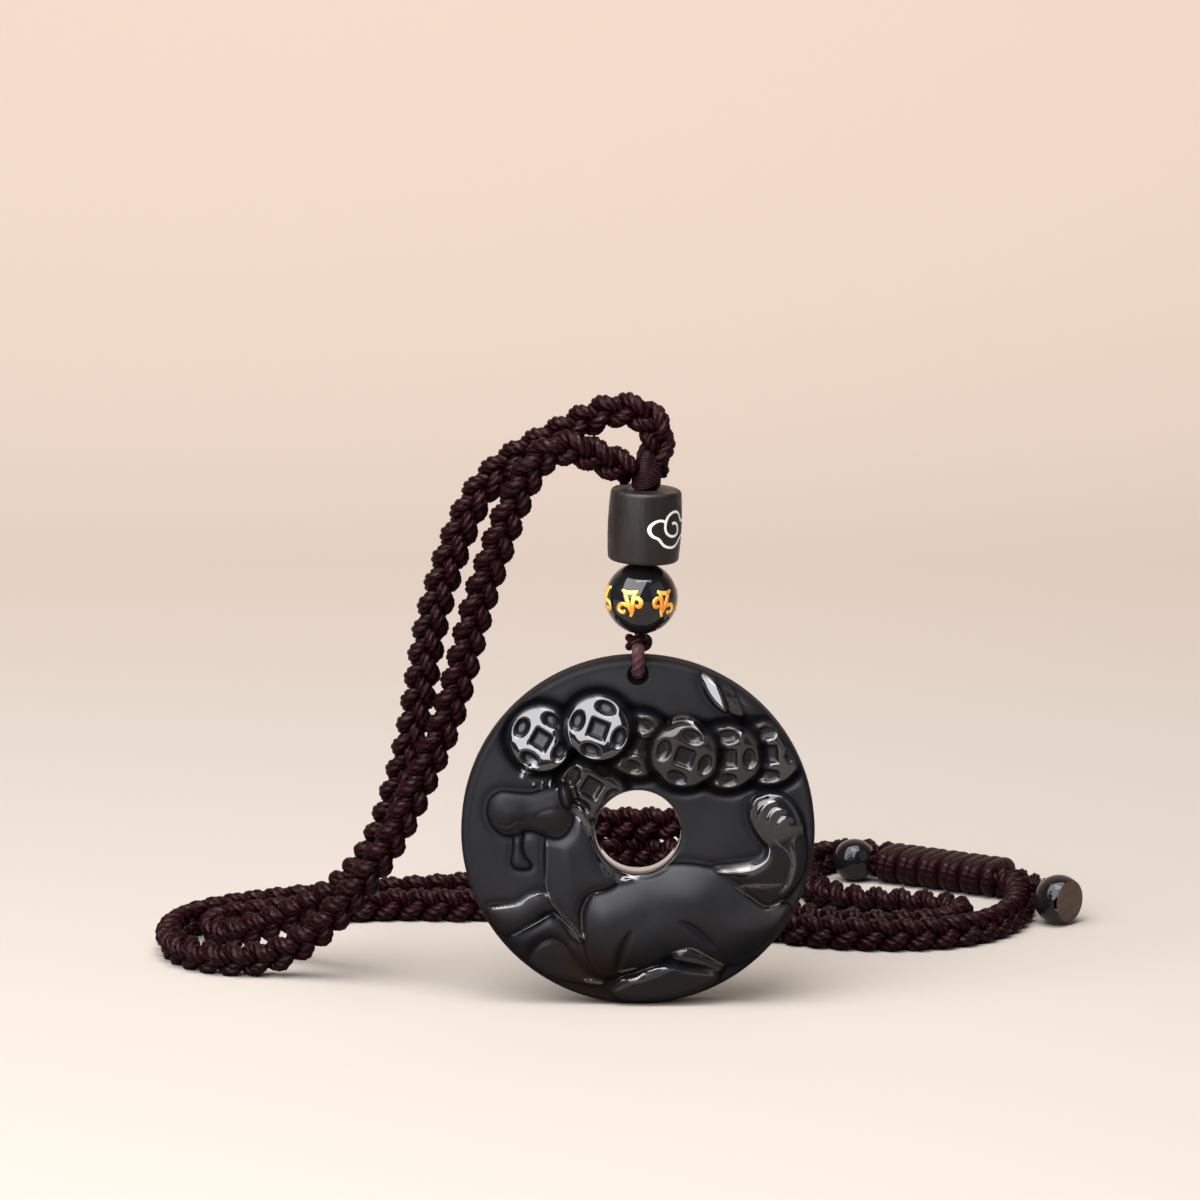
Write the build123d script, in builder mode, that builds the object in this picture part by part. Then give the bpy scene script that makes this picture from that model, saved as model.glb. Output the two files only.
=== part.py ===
from build123d import *
import math
import os

# An obsidian disc pendant on a braided cord. Millimetres, +Z up, the carved face looks along -Y.
# The origin is the underside of the cord's eye, where the necklace hangs.

os.makedirs("parts", exist_ok=True)

# Drop: the line of beads that carries the disc, from the top of the barrel down to the thread hole
drop_top = (3.94, 0, -8.62)
drop_tilt = 2.5
barrel_length = 10.2
barrel_r = 5.2
barrel_end_r = 4.95
barrel_round = 0.6
barrel_hole_r = 1.5
bead_gap = 0.3
bead_r = 5.1
bead_hole_r = 1.1
bead_thread_r = 0.9
thread_room = 3.2
end_gap = 0.05

# Disc
disc_r = 25.0
disc_t = 5.0
rim_round = 1.1
bore_r = 6.05
bore_chamfer = 0.3
hole_inset = 2.2
hole_clearance = 0.1
hole_flare = 0.4

# Thread loop through the disc's hole, and the knot that closes it
loop_r = 0.95
loop_gap = 0.1
loop_rise = 1.35
loop_corner_r = 1.5
knot_width = 3.7
knot_height = 2.35
knot_lift = 0.75
knot_round = 0.9

# Relief on the disc: heights in mm, every place and outline below in shares of disc_r
relief_root = 1.6
relief_inset = 0.2
coin_share = 0.184
coin_soft = 0.3
pit_depth = 0.55
pit_square = 0.118
pit_ring = 0.126
pit_long = 0.094
pit_short = 0.05

# Cloud let into the barrel: a silver line
cloud_azimuth = 57
cloud_width = 9.0
cloud_height = 5.0
cloud_line = 0.36
cloud_depth = 0.45
cloud_fit = 0.02

# Binding where both ends of the cord are wrapped together over the barrel
binding_r = 2.2
binding_height = 6.2
binding_round = 1.1
binding_foot_round = 0.5
neck_length = 1.4
neck_fit = 0.05

# Cord and its sliding sleeve of square knots
cord_d = 4.4
cord_rest_z = -80.3
arc_share = 0.45
sleeve_start = (41.0, 80.9)
sleeve_heading = -33.4
sleeve_width = 9.2
sleeve_height = 5.4
rib_pitch = 1.84
rib_count = 11
rib_round = 0.45

# Tails of the cord, each with a wooden bead
tail_d = 3.0
tail_fit = 0.1
end_bead_1_r = 3.2
end_bead_1_at = (35.9, 79.9)
end_bead_2_r = 3.7
end_bead_2_at = (65.25, 50.0)
end_bead_2_drill = 0.8
end_bead_2_cut = 2.0
end_bead_2_cut_heading = -41

table_z = cord_rest_z - cord_d / 2

# Disc relief. A coin's row: across, up, turn in degrees, height in mm. The lowest comes first.
coins = [
    (-0.262, 0.264, -30, 0.80),
    (0.736, 0.456, 4, 0.90),
    (0.004, 0.504, -18, 1.05),
    (0.504, 0.436, 0, 1.20),
    (-0.548, 0.544, -30, 1.30),
    (0.262, 0.446, -20, 1.40),
    (-0.224, 0.608, -20, 1.55),
]

horse_body = [
    (-0.311, -0.594), (-0.323, -0.494), (-0.287, -0.400), (-0.199, -0.336), (-0.093, -0.300),
    (0.027, -0.250), (0.146, -0.202), (0.287, -0.192), (0.435, -0.231), (0.541, -0.307),
    (0.654, -0.407), (0.759, -0.465), (0.820, -0.520), (0.766, -0.623), (0.639, -0.705),
    (0.442, -0.733), (0.217, -0.715), (0.048, -0.745), (-0.121, -0.795), (-0.235, -0.790),
    (-0.300, -0.700),
]
horse_neck = [
    (-0.507, -0.042), (-0.459, 0.040), (-0.382, 0.088), (-0.305, 0.035), (-0.248, -0.120),
    (-0.180, -0.250), (-0.200, -0.350), (-0.270, -0.440), (-0.320, -0.530), (-0.389, -0.510),
    (-0.470, -0.420), (-0.513, -0.310), (-0.515, -0.180),
]
horse_head = [
    (-0.835, 0.152), (-0.800, 0.205), (-0.720, 0.215), (-0.600, 0.218), (-0.500, 0.255),
    (-0.415, 0.268), (-0.375, 0.205), (-0.372, 0.123), (-0.403, 0.042), (-0.473, -0.010),
    (-0.558, -0.001), (-0.639, 0.010), (-0.734, 0.015), (-0.804, 0.073),
]
horse_chin = [
    (-0.712, 0.040), (-0.722, -0.050), (-0.724, -0.130), (-0.705, -0.185), (-0.665, -0.205),
    (-0.628, -0.185), (-0.618, -0.130), (-0.628, -0.050), (-0.632, 0.040), (-0.672, 0.065),
]
foreleg_high = [
    (-0.860, -0.500), (-0.835, -0.455), (-0.755, -0.435), (-0.654, -0.410), (-0.560, -0.372),
    (-0.480, -0.400), (-0.390, -0.490), (-0.300, -0.590), (-0.290, -0.650), (-0.335, -0.685),
    (-0.420, -0.630), (-0.510, -0.525), (-0.614, -0.550), (-0.730, -0.590), (-0.820, -0.575),
]
foreleg_low = [
    (-0.625, -0.730), (-0.558, -0.640), (-0.480, -0.605), (-0.400, -0.645), (-0.320, -0.735),
    (-0.240, -0.820), (-0.270, -0.870), (-0.403, -0.850), (-0.544, -0.795),
]
rock = [
    (-0.135, -0.885), (-0.065, -0.830), (0.070, -0.785), (0.203, -0.762), (0.340, -0.768),
    (0.445, -0.800), (0.480, -0.855), (0.400, -0.930), (0.245, -0.980), (0.076, -0.995),
    (-0.080, -0.960),
]
tail_curl = [
    (0.620, 0.115), (0.650, 0.195), (0.735, 0.235), (0.845, 0.210), (0.940, 0.130),
    (0.985, -0.020), (0.945, -0.190), (0.865, -0.340), (0.755, -0.410), (0.650, -0.380),
    (0.560, -0.320), (0.490, -0.275), (0.485, -0.215), (0.580, -0.185), (0.680, -0.135),
    (0.710, -0.040), (0.665, 0.040),
]
ribbon_low = [
    (0.545, 0.700), (0.620, 0.735), (0.720, 0.705), (0.820, 0.630), (0.875, 0.550),
    (0.855, 0.500), (0.800, 0.530), (0.700, 0.600), (0.610, 0.635), (0.555, 0.650),
]
ribbon_high = [
    (0.545, 0.720), (0.480, 0.780), (0.425, 0.860), (0.410, 0.920), (0.460, 0.935),
    (0.560, 0.870), (0.650, 0.800), (0.700, 0.745), (0.665, 0.705), (0.600, 0.700),
]

# A form's row: its outline, its height in mm, and its edge's rounding in shares of disc_r
forms = [
    (ribbon_low, 0.6, 0.012),
    (ribbon_high, 0.8, 0.013),
    (tail_curl, 0.9, 0.020),
    (foreleg_low, 0.7, 0.015),
    (rock, 1.1, 0.015),
    (foreleg_high, 0.9, 0.022),
    (horse_chin, 0.6, 0.012),
    (horse_neck, 1.0, 0.020),
    (horse_head, 1.5, 0.030),
    (horse_body, 1.4, 0.030),
]

# Cord A leaves the binding on the right, makes the eye and comes round to the sleeve's right end
cord_a_route = [
    (4.6, 0.4, -6.0), (5.5, 0.5, -3.2), (5.6, 0.6, -0.3), (3.8, 0.8, 1.9), (-0.2, 1.2, 2.7),
    (-4.1, 2.6, 1.0), (-8.2, 3.9, -1.5), (-12.6, 4.2, -3.8), (-16.8, 4.2, -6.5), (-20.1, 4.4, -10.4),
    (-22.2, 4.8, -15.1), (-24.2, 5.4, -20.6), (-26.1, 6.2, -27.1), (-27.4, 7.2, -33.9),
    (-28.4, 8.6, -40.9), (-29.6, 10.0, -47.5), (-31.3, 11.6, -53.8), (-33.1, 13.2, -59.6),
    (-35.4, 15.2, -64.6), (-38.4, 18.0, -68.8), (-41.8, 20.8, -72.0), (-45.5, 23.6, -74.4),
    (-49.5, 26.4, -76.8), (-53.7, 29.0, -78.8), (-56.8, 31.4, -80.3), (-59.3, 36.0, -80.3),
    (-58.5, 41.4, -80.3), (-53.9, 44.9, -80.3), (-46.9, 48.7, -80.3), (-39.0, 52.2, -80.3),
    (-30.4, 53.2, -80.3), (-22.4, 51.8, -80.3), (-15.0, 54.6, -80.3), (-10.2, 61.6, -80.3),
    (-6.2, 70.6, -80.3), (-4.8, 80.0, -80.3), (-2.4, 88.0, -80.3), (3.4, 91.8, -80.3),
    (9.0, 88.2, -80.3), (12.6, 80.0, -80.3), (15.6, 67.0, -80.3), (15.8, 57.0, -80.3),
    (17.4, 47.4, -80.3), (22.0, 39.4, -80.3), (29.4, 34.4, -80.3), (37.8, 32.4, -80.3),
    (46.2, 33.0, -80.3), (52.8, 37.0, -80.3), (57.2, 43.4, -80.3), (59.4, 50.6, -80.3),
    (60.0, 57.2, -80.3), (60.1, 62.6, -80.0), (58.7, 66.9, -79.8), (55.6, 69.0, -79.8),
]

# Cord B leaves the binding on the left and comes round to the sleeve's left end
cord_b_route = [
    (1.8, 0.1, -6.1), (-2.2, -0.4, -4.3), (-6.4, -1.0, -2.4), (-9.9, -0.9, -3.0),
    (-12.4, -0.4, -5.9), (-14.2, 0.1, -9.4), (-15.8, 0.6, -13.5), (-17.5, 1.4, -18.5),
    (-19.4, 2.4, -24.1), (-21.1, 3.6, -30.7), (-22.7, 4.9, -37.3), (-24.4, 5.9, -43.2),
    (-26.7, 6.4, -48.6), (-29.0, 7.0, -53.9), (-31.4, 8.0, -59.1), (-34.3, 9.4, -64.2),
    (-37.8, 11.2, -69.2), (-41.6, 13.0, -73.9), (-45.7, 14.6, -77.5), (-49.7, 15.4, -79.6),
    (-55.8, 16.0, -80.3), (-61.0, 19.4, -80.3), (-64.2, 24.8, -80.3), (-65.2, 31.4, -80.3),
    (-64.6, 38.2, -80.3), (-62.0, 44.4, -80.3), (-57.2, 49.4, -80.3), (-51.0, 53.4, -80.3),
    (-43.8, 57.0, -80.3), (-35.6, 60.6, -80.3), (-27.0, 62.8, -80.3), (-19.6, 65.6, -80.3),
    (-14.6, 71.8, -80.3), (-12.0, 79.6, -79.9), (-10.4, 86.0, -77.6), (-4.8, 89.6, -75.8),
    (3.4, 90.4, -75.8), (11.6, 89.6, -75.8), (17.8, 85.2, -77.4), (20.4, 78.0, -80.1),
    (20.8, 70.0, -80.3), (21.0, 60.4, -80.3), (22.4, 51.0, -80.3), (26.6, 43.4, -80.3),
    (33.4, 39.0, -80.3), (41.4, 37.8, -80.3), (48.2, 39.6, -80.3), (51.6, 44.8, -80.3),
    (49.4, 50.4, -80.3), (43.4, 52.8, -80.3), (37.0, 54.0, -80.3), (31.4, 58.4, -80.3),
    (28.8, 65.4, -80.3), (28.6, 72.8, -80.3), (28.4, 78.6, -80.3), (29.6, 83.2, -80.2),
    (32.6, 86.2, -80.0), (36.6, 86.6, -79.9), (40.1, 83.9, -79.8), (43.3, 81.7, -79.8),
]

# Each tail leaves the sleeve beside the other cord and ends inside its bead
tail_1_route = [(41.1, 78.2, -79.5), (38.5, 79.1, -79.4), (35.9, 79.9, -79.3), (33.2, 80.8, -79.3)]
tail_2_route = [
    (57.9, 72.4, -79.8), (61.2, 70.3, -80.3), (63.9, 67.0, -80.9), (64.7, 62.6, -80.7),
    (63.9, 57.4, -78.9), (65.25, 50.0, -78.8), (65.37, 49.35, -78.8),
]

drop_up = Vector(math.sin(math.radians(drop_tilt)), 0, math.cos(math.radians(drop_tilt)))
drop_side = (drop_up.Z, 0, -drop_up.X)
barrel_bottom = barrel_length
bead_middle = barrel_bottom + bead_gap + bead_r
rim_down = barrel_bottom + bead_gap + 2 * bead_r + thread_room


def drop_point(down):
    """The point of the drop's axis this far below the top of the barrel."""
    return Vector(drop_top) - drop_up * down


def drop_level(down):
    """A level across the drop, its normal up the drop."""
    return Plane(origin=drop_point(down), x_dir=drop_side, z_dir=drop_up)


def drop_profile(down):
    """An upright plane through the drop's axis: local X is the radius, local Y is up."""
    return Plane(origin=drop_point(down), x_dir=drop_side, z_dir=(0, -1, 0))


hole_at = drop_point(rim_down + hole_inset)
disc_at = hole_at - Vector(0, 0, disc_r - hole_inset)
rim_top = hole_at.Z + hole_inset


def face_plane(rise=0):
    """A plane parallel to the carved face and this far in front of it, local Y up."""
    return Plane(origin=disc_at - Vector(0, disc_t / 2 + rise, 0), x_dir=(1, 0, 0), z_dir=(0, -1, 0))


def share_point(across, up):
    """A point of the relief, from shares of the disc's radius."""
    return (across * disc_r, up * disc_r)


def carved_form(outline, height, rounding):
    """A raised form of the relief: closed smooth outline, softened upper edge, kept inside the rim."""
    with BuildPart() as form:
        with BuildSketch(face_plane(-relief_root)):
            with BuildLine():
                Spline([share_point(u, v) for u, v in outline], periodic=True)
            make_face()
        extrude(amount=relief_root + height)
        fillet(form.faces().sort_by(Axis.Y)[0].edges(), rounding * disc_r)
        with BuildSketch(face_plane(-relief_root)):
            Circle(disc_r - relief_inset)
        extrude(amount=relief_root + height, mode=Mode.INTERSECT)
    return form.part


def coin_blank(across, up, height):
    """A coin before its holes are cut, kept inside the rim."""
    with BuildPart() as coin:
        with BuildSketch(face_plane(-relief_root)):
            with Locations(share_point(across, up)):
                Circle(coin_share * disc_r)
        extrude(amount=relief_root + height)
        fillet(coin.faces().sort_by(Axis.Y)[0].edges(), coin_soft)
        with BuildSketch(face_plane(-relief_root)):
            Circle(disc_r - relief_inset)
        extrude(amount=relief_root + height, mode=Mode.INTERSECT)
    return coin.part


# Disc
with BuildPart() as disc:
    with BuildSketch(face_plane(-disc_t)):
        Circle(disc_r)
    extrude(amount=disc_t)
    fillet(disc.edges(), rim_round)
    for across, up, turn, height in coins:
        add(coin_blank(across, up, height))
        with BuildSketch(face_plane(height - pit_depth)):
            with Locations(Location(share_point(across, up), turn)):
                Rectangle(pit_square * disc_r, pit_square * disc_r)
                with PolarLocations(pit_ring * disc_r, 4):
                    Ellipse(pit_short * disc_r / 2, pit_long * disc_r / 2)
        extrude(amount=pit_depth, mode=Mode.SUBTRACT)
    for outline, height, rounding in forms:
        add(carved_form(outline, height, rounding))
    # The bore, with a small chamfer at each face
    with BuildSketch(face_plane(-disc_t)):
        Circle(bore_r)
    extrude(amount=disc_t, mode=Mode.SUBTRACT)
    with BuildSketch(face_plane(-bore_chamfer)):
        Circle(bore_r)
    extrude(amount=bore_chamfer, taper=-45, mode=Mode.SUBTRACT)
    with BuildSketch(face_plane()):
        Circle(bore_r + bore_chamfer)
    extrude(amount=relief_root, mode=Mode.SUBTRACT)
    with BuildSketch(face_plane(-disc_t)):
        Circle(bore_r + bore_chamfer)
    extrude(amount=bore_chamfer, taper=45, mode=Mode.SUBTRACT)
    # The thread hole under the rim, flared at each face
    hole_place = (0, disc_r - hole_inset)
    hole_r = loop_r + hole_clearance
    with BuildSketch(face_plane(-disc_t)):
        with Locations(hole_place):
            Circle(hole_r)
    extrude(amount=disc_t, mode=Mode.SUBTRACT)
    with BuildSketch(face_plane(-hole_flare)):
        with Locations(hole_place):
            Circle(hole_r)
    extrude(amount=hole_flare, taper=-45, mode=Mode.SUBTRACT)
    with BuildSketch(face_plane(-disc_t)):
        with Locations(hole_place):
            Circle(hole_r + hole_flare)
    extrude(amount=hole_flare, taper=45, mode=Mode.SUBTRACT)
disc.part.label = "disc"


# Thread loop: through the hole, up both faces of the disc and over the rim
loop_side = disc_t / 2 + loop_gap + loop_r
loop_top = hole_inset + loop_rise


def thread_loop(radius):
    """The closed loop of thread at this radius."""
    with BuildPart() as loop:
        with BuildLine(Plane(origin=hole_at, x_dir=(0, 1, 0), z_dir=(1, 0, 0))) as path:
            FilletPolyline(
                (-loop_side, 0), (loop_side, 0), (loop_side, loop_top), (-loop_side, loop_top),
                radius=loop_corner_r, close=True,
            )
        wire = path.wires()[0]
        with BuildSketch(Plane(origin=wire @ 0, z_dir=wire % 0)):
            Circle(radius)
        sweep(path=wire)
    return loop.part


disc_thread = thread_loop(loop_r)
disc_thread.label = "disc_thread"

# Knot that closes the loop under the round bead
knot_at = Vector(hole_at.X, 0, rim_top + knot_lift)
with BuildPart() as drop_knot:
    with BuildSketch(Plane(origin=knot_at)):
        Ellipse(knot_width / 2, knot_width / 2 * 0.92)
    extrude(amount=knot_height)
    fillet(drop_knot.edges(), knot_round)
    add(thread_loop(loop_r + end_gap), mode=Mode.SUBTRACT)
drop_knot.part.label = "drop_knot"

# Thread through both beads, from the knot up to the binding's neck
knot_top_down = rim_down - knot_lift - knot_height
with BuildPart() as bead_thread:
    with BuildSketch(drop_level(knot_top_down - end_gap)):
        Circle(bead_thread_r)
    extrude(amount=knot_top_down - neck_length - 2 * end_gap)
bead_thread.part.label = "bead_thread"

# Round bead
with BuildPart(drop_level(bead_middle)) as round_bead:
    Sphere(bead_r)
    Hole(bead_hole_r)
round_bead.part.label = "round_bead"

# Barrel bead, before the cloud is let in
with BuildPart() as barrel_blank:
    with BuildSketch(drop_profile(barrel_length / 2)) as barrel_side:
        with BuildLine():
            half = barrel_length / 2
            ThreePointArc((barrel_end_r, -half), (barrel_r, 0), (barrel_end_r, half))
            Polyline((barrel_end_r, half), (barrel_hole_r, half), (barrel_hole_r, -half),
                     (barrel_end_r, -half))
        make_face()
        fillet(barrel_side.vertices().group_by(Axis.X)[-1], barrel_round)
    revolve(axis=Axis(drop_point(0), drop_up))

# The cloud's two lines, in shares of its width around the barrel and of its height
cloud_curl = [
    (-0.100, 0.165), (0.020, 0.125), (0.045, -0.110), (-0.100, -0.185), (-0.215, -0.055),
    (-0.232, 0.210), (-0.180, 0.400), (-0.010, 0.500), (0.095, 0.380), (0.150, 0.235),
    (0.290, 0.190), (0.420, 0.170),
]
cloud_edge = [
    (-0.235, 0.225), (-0.395, 0.255), (-0.495, 0.105), (-0.500, -0.020), (-0.445, -0.160),
    (-0.345, -0.245), (-0.280, -0.375), (-0.140, -0.500), (0.030, -0.450), (0.115, -0.320),
    (0.240, -0.230), (0.380, -0.200), (0.490, -0.080), (0.495, 0.080), (0.415, 0.175),
]
cloud_out = Vector(drop_side[0], 0, drop_side[2]).rotate(Axis((0, 0, 0), drop_up), cloud_azimuth - 90)
cloud_plane = Plane(
    origin=drop_point(barrel_length / 2), x_dir=drop_up.cross(cloud_out), z_dir=cloud_out
)


def cloud_point(around, up):
    """A point of the cloud, laid round the barrel and seen square on."""
    return (barrel_r * math.sin(around * cloud_width / barrel_r), up * cloud_height)


def cloud_form(line_width, depth):
    """The cloud's lines, from this depth under the barrel's side out to past it."""
    with BuildPart() as cloud:
        with BuildSketch(cloud_plane):
            with BuildLine():
                Spline([cloud_point(u, v) for u, v in cloud_edge])
            trace(line_width=line_width)
            with BuildLine():
                Spline([cloud_point(u, v) for u, v in cloud_curl])
            trace(line_width=line_width)
        extrude(amount=barrel_r + cloud_depth)
        with BuildSketch(drop_level(barrel_length)):
            Circle(barrel_r - depth)
        extrude(amount=barrel_length, mode=Mode.SUBTRACT)
    return cloud.part


# Barrel bead with the cloud's groove, and the cloud in it
with BuildPart() as barrel_bead:
    add(barrel_blank.part)
    add(cloud_form(cloud_line + 2 * cloud_fit, cloud_depth + cloud_fit), mode=Mode.SUBTRACT)
barrel_bead.part.label = "barrel_bead"

with BuildPart() as cloud_inlay:
    add(cloud_form(cloud_line, cloud_depth))
    add(barrel_blank.part, mode=Mode.INTERSECT)
cloud_inlay.part.label = "cloud_inlay"


def binding_body(room=0):
    """The wrapped body over the barrel, or with room the space that it takes out of the cords."""
    with BuildPart() as body:
        with BuildSketch(drop_level(-end_gap + room)):
            Circle(binding_r + room)
        extrude(amount=binding_height + 2 * room)
        fillet(body.edges().sort_by(Axis.Z)[-1], binding_round)
        fillet(body.edges().sort_by(Axis.Z)[0], binding_foot_round)
    return body.part


# Binding: the wrapped body and a neck that sits in the barrel's hole
with BuildPart() as top_binding:
    add(binding_body())
    with BuildSketch(drop_level(neck_length)):
        Circle(barrel_hole_r - neck_fit)
    extrude(amount=neck_length + binding_height / 2)
top_binding.part.label = "top_binding"


def corner_radii(route):
    """Each corner's radius: as large as the shorter of its two runs allows."""
    runs = [Vector(end) - Vector(start) for start, end in zip(route, route[1:])]
    radii = []
    for before, after in zip(runs, runs[1:]):
        half_turn = math.radians(before.get_angle(after)) / 2
        radii.append(arc_share * min(before.length, after.length) / math.tan(half_turn))
    return radii


def cord_path(route):
    """A cord's centreline: straight runs joined by tangent arcs."""
    with BuildLine() as path:
        FilletPolyline(*route, radius=corner_radii(route))
    return path.wires()[0]


def cord_tube(route, diameter):
    """A round tube along a route."""
    path = cord_path(route)
    with BuildPart() as tube:
        with BuildSketch(Plane(origin=path @ 0, z_dir=path % 0)):
            Circle(diameter / 2)
        sweep(path=path)
    return tube.part


def print_cord(name, route, diameter):
    """Print a cord's length, its volume against section times length, and its corners' radii."""
    length = cord_path(route).length
    filled = cord_tube(route, diameter).volume / (math.pi * diameter ** 2 / 4 * length)
    print(f"{name}: length {length:.1f}, volume {filled:.4f} of section times length")
    print("  radii", [round(radius, 1) for radius in corner_radii(route)])


for name, route, diameter in (
    ("cord_a", cord_a_route, cord_d), ("cord_b", cord_b_route, cord_d),
    ("tail_1", tail_1_route, tail_d), ("tail_2", tail_2_route, tail_d),
):
    print_cord(name, route, diameter)

# Cords: each meets the binding's side with a small gap
with BuildPart() as cord_a:
    add(cord_tube(cord_a_route, cord_d))
    add(binding_body(end_gap), mode=Mode.SUBTRACT)
cord_a.part.label = "cord_a"

with BuildPart() as cord_b:
    add(cord_tube(cord_b_route, cord_d))
    add(binding_body(end_gap), mode=Mode.SUBTRACT)
cord_b.part.label = "cord_b"

tail_1 = cord_tube(tail_1_route, tail_d)
tail_1.label = "tail_1"
tail_2 = cord_tube(tail_2_route, tail_d)
tail_2.label = "tail_2"

# Sliding sleeve: a row of flat square knots round both cords, lying on the table
heading = math.radians(sleeve_heading)
sleeve_along = Vector(math.cos(heading), math.sin(heading), 0)
sleeve_across = (-math.sin(heading), math.cos(heading), 0)
sleeve_at = Vector(sleeve_start[0], sleeve_start[1], table_z + sleeve_height / 2)


def sleeve_level(along):
    """A level across the sleeve at this distance from its left end."""
    return Plane(origin=sleeve_at + sleeve_along * along, x_dir=sleeve_across, z_dir=sleeve_along)


with BuildPart() as knot_rib:
    with BuildSketch(sleeve_level(0)):
        SlotOverall(sleeve_width, sleeve_height)
    extrude(amount=rib_pitch)
    end_faces = knot_rib.faces().sort_by(Axis(sleeve_at, sleeve_along))
    fillet(end_faces[0].edges() + end_faces[-1].edges(), rib_round)

with BuildPart() as slider_knot:
    for rib in range(rib_count):
        add(knot_rib.part.moved(Location(sleeve_along * (rib * rib_pitch))))
    for route, diameter in (
        (cord_a_route, cord_d), (cord_b_route, cord_d), (tail_1_route, tail_d), (tail_2_route, tail_d)
    ):
        add(cord_tube(route, diameter + 2 * end_gap), mode=Mode.SUBTRACT)
slider_knot.part.label = "slider_knot"


def end_bead(place, radius, route, drill_past):
    """A bead on a tail's end, resting on the table, drilled along the tail to past its middle."""
    middle = Vector(place[0], place[1], table_z + radius)
    with BuildPart(Plane(origin=middle, z_dir=Vector(route[-1]) - Vector(route[-3]))) as bead:
        Sphere(radius)
        with Locations((0, 0, drill_past)):
            Hole(tail_d / 2 + tail_fit, depth=radius + drill_past)
    return bead.part


end_bead_1 = end_bead(end_bead_1_at, end_bead_1_r, tail_1_route, end_bead_1_r)
end_bead_1.label = "end_bead_1"

# The second bead is drilled blind and has a flat cut face
cut_out = Vector(1, 0, 0).rotate(Axis.Z, end_bead_2_cut_heading)
cut_at = Vector(end_bead_2_at[0], end_bead_2_at[1], table_z + end_bead_2_r) + cut_out * end_bead_2_cut
with BuildPart() as end_bead_2:
    add(end_bead(end_bead_2_at, end_bead_2_r, tail_2_route, end_bead_2_drill))
    split(bisect_by=Plane(origin=cut_at, z_dir=cut_out), keep=Keep.BOTTOM)
end_bead_2.part.label = "end_bead_2"

for piece in (
    disc.part, disc_thread, drop_knot.part, bead_thread.part, round_bead.part, barrel_bead.part,
    cloud_inlay.part, top_binding.part, cord_a.part, cord_b.part, slider_knot.part,
    tail_1, tail_2, end_bead_1, end_bead_2.part,
):
    export_step(piece, f"parts/{piece.label}.step")
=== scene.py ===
import math

import bpy
import numpy as np
from bpy.props import FloatProperty, FloatVectorProperty, IntProperty, PointerProperty
from bpy.types import Operator, Panel, PropertyGroup
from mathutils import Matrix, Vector


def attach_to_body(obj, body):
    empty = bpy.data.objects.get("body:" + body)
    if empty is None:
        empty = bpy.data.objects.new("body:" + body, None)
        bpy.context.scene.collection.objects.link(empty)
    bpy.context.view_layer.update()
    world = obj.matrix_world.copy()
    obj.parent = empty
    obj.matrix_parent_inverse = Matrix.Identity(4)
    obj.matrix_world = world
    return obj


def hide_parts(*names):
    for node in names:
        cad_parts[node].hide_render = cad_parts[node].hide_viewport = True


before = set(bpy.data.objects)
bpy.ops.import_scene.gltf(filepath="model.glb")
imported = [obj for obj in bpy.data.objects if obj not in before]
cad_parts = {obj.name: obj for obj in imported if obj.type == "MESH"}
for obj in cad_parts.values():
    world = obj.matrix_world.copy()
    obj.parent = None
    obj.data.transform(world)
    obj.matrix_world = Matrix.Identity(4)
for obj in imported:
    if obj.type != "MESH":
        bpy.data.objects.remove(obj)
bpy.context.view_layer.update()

bl_info = {
    "name": "Obsidian disc pendant",
    "version": (1, 0, 0),
    "blender": (4, 5, 0),
    "location": "3D View > Sidebar > Pendant",
    "description": "Makes a carved stone disc pendant on a plaited cord, piece by piece",
    "category": "Object",
}

MM = 0.001

# Routes of the two cords, in millimetres
cord_a_route = [
    (4.6, 0.4, -6.0), (5.5, 0.5, -3.2), (5.6, 0.6, -0.3), (3.8, 0.8, 1.9), (-0.2, 1.2, 2.7),
    (-4.1, 2.6, 1.0), (-8.2, 3.9, -1.5), (-12.6, 4.2, -3.8), (-16.8, 4.2, -6.5), (-20.1, 4.4, -10.4),
    (-22.2, 4.8, -15.1), (-24.2, 5.4, -20.6), (-26.1, 6.2, -27.1), (-27.4, 7.2, -33.9),
    (-28.4, 8.6, -40.9), (-29.6, 10.0, -47.5), (-31.3, 11.6, -53.8), (-33.1, 13.2, -59.6),
    (-35.4, 15.2, -64.6), (-38.4, 18.0, -68.8), (-41.8, 20.8, -72.0), (-45.5, 23.6, -74.4),
    (-49.5, 26.4, -76.8), (-53.7, 29.0, -78.8), (-56.8, 31.4, -80.3), (-59.3, 36.0, -80.3),
    (-58.5, 41.4, -80.3), (-53.9, 44.9, -80.3), (-46.9, 48.7, -80.3), (-39.0, 52.2, -80.3),
    (-30.4, 53.2, -80.3), (-22.4, 51.8, -80.3), (-15.0, 54.6, -80.3), (-10.2, 61.6, -80.3),
    (-6.2, 70.6, -80.3), (-4.8, 80.0, -80.3), (-2.4, 88.0, -80.3), (3.4, 91.8, -80.3),
    (9.0, 88.2, -80.3), (12.6, 80.0, -80.3), (15.6, 67.0, -80.3), (15.8, 57.0, -80.3),
    (17.4, 47.4, -80.3), (22.0, 39.4, -80.3), (29.4, 34.4, -80.3), (37.8, 32.4, -80.3),
    (46.2, 33.0, -80.3), (52.8, 37.0, -80.3), (57.2, 43.4, -80.3), (59.4, 50.6, -80.3),
    (60.0, 57.2, -80.3), (60.1, 62.6, -80.0), (58.7, 66.9, -79.8), (55.6, 69.0, -79.8),
]
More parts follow.
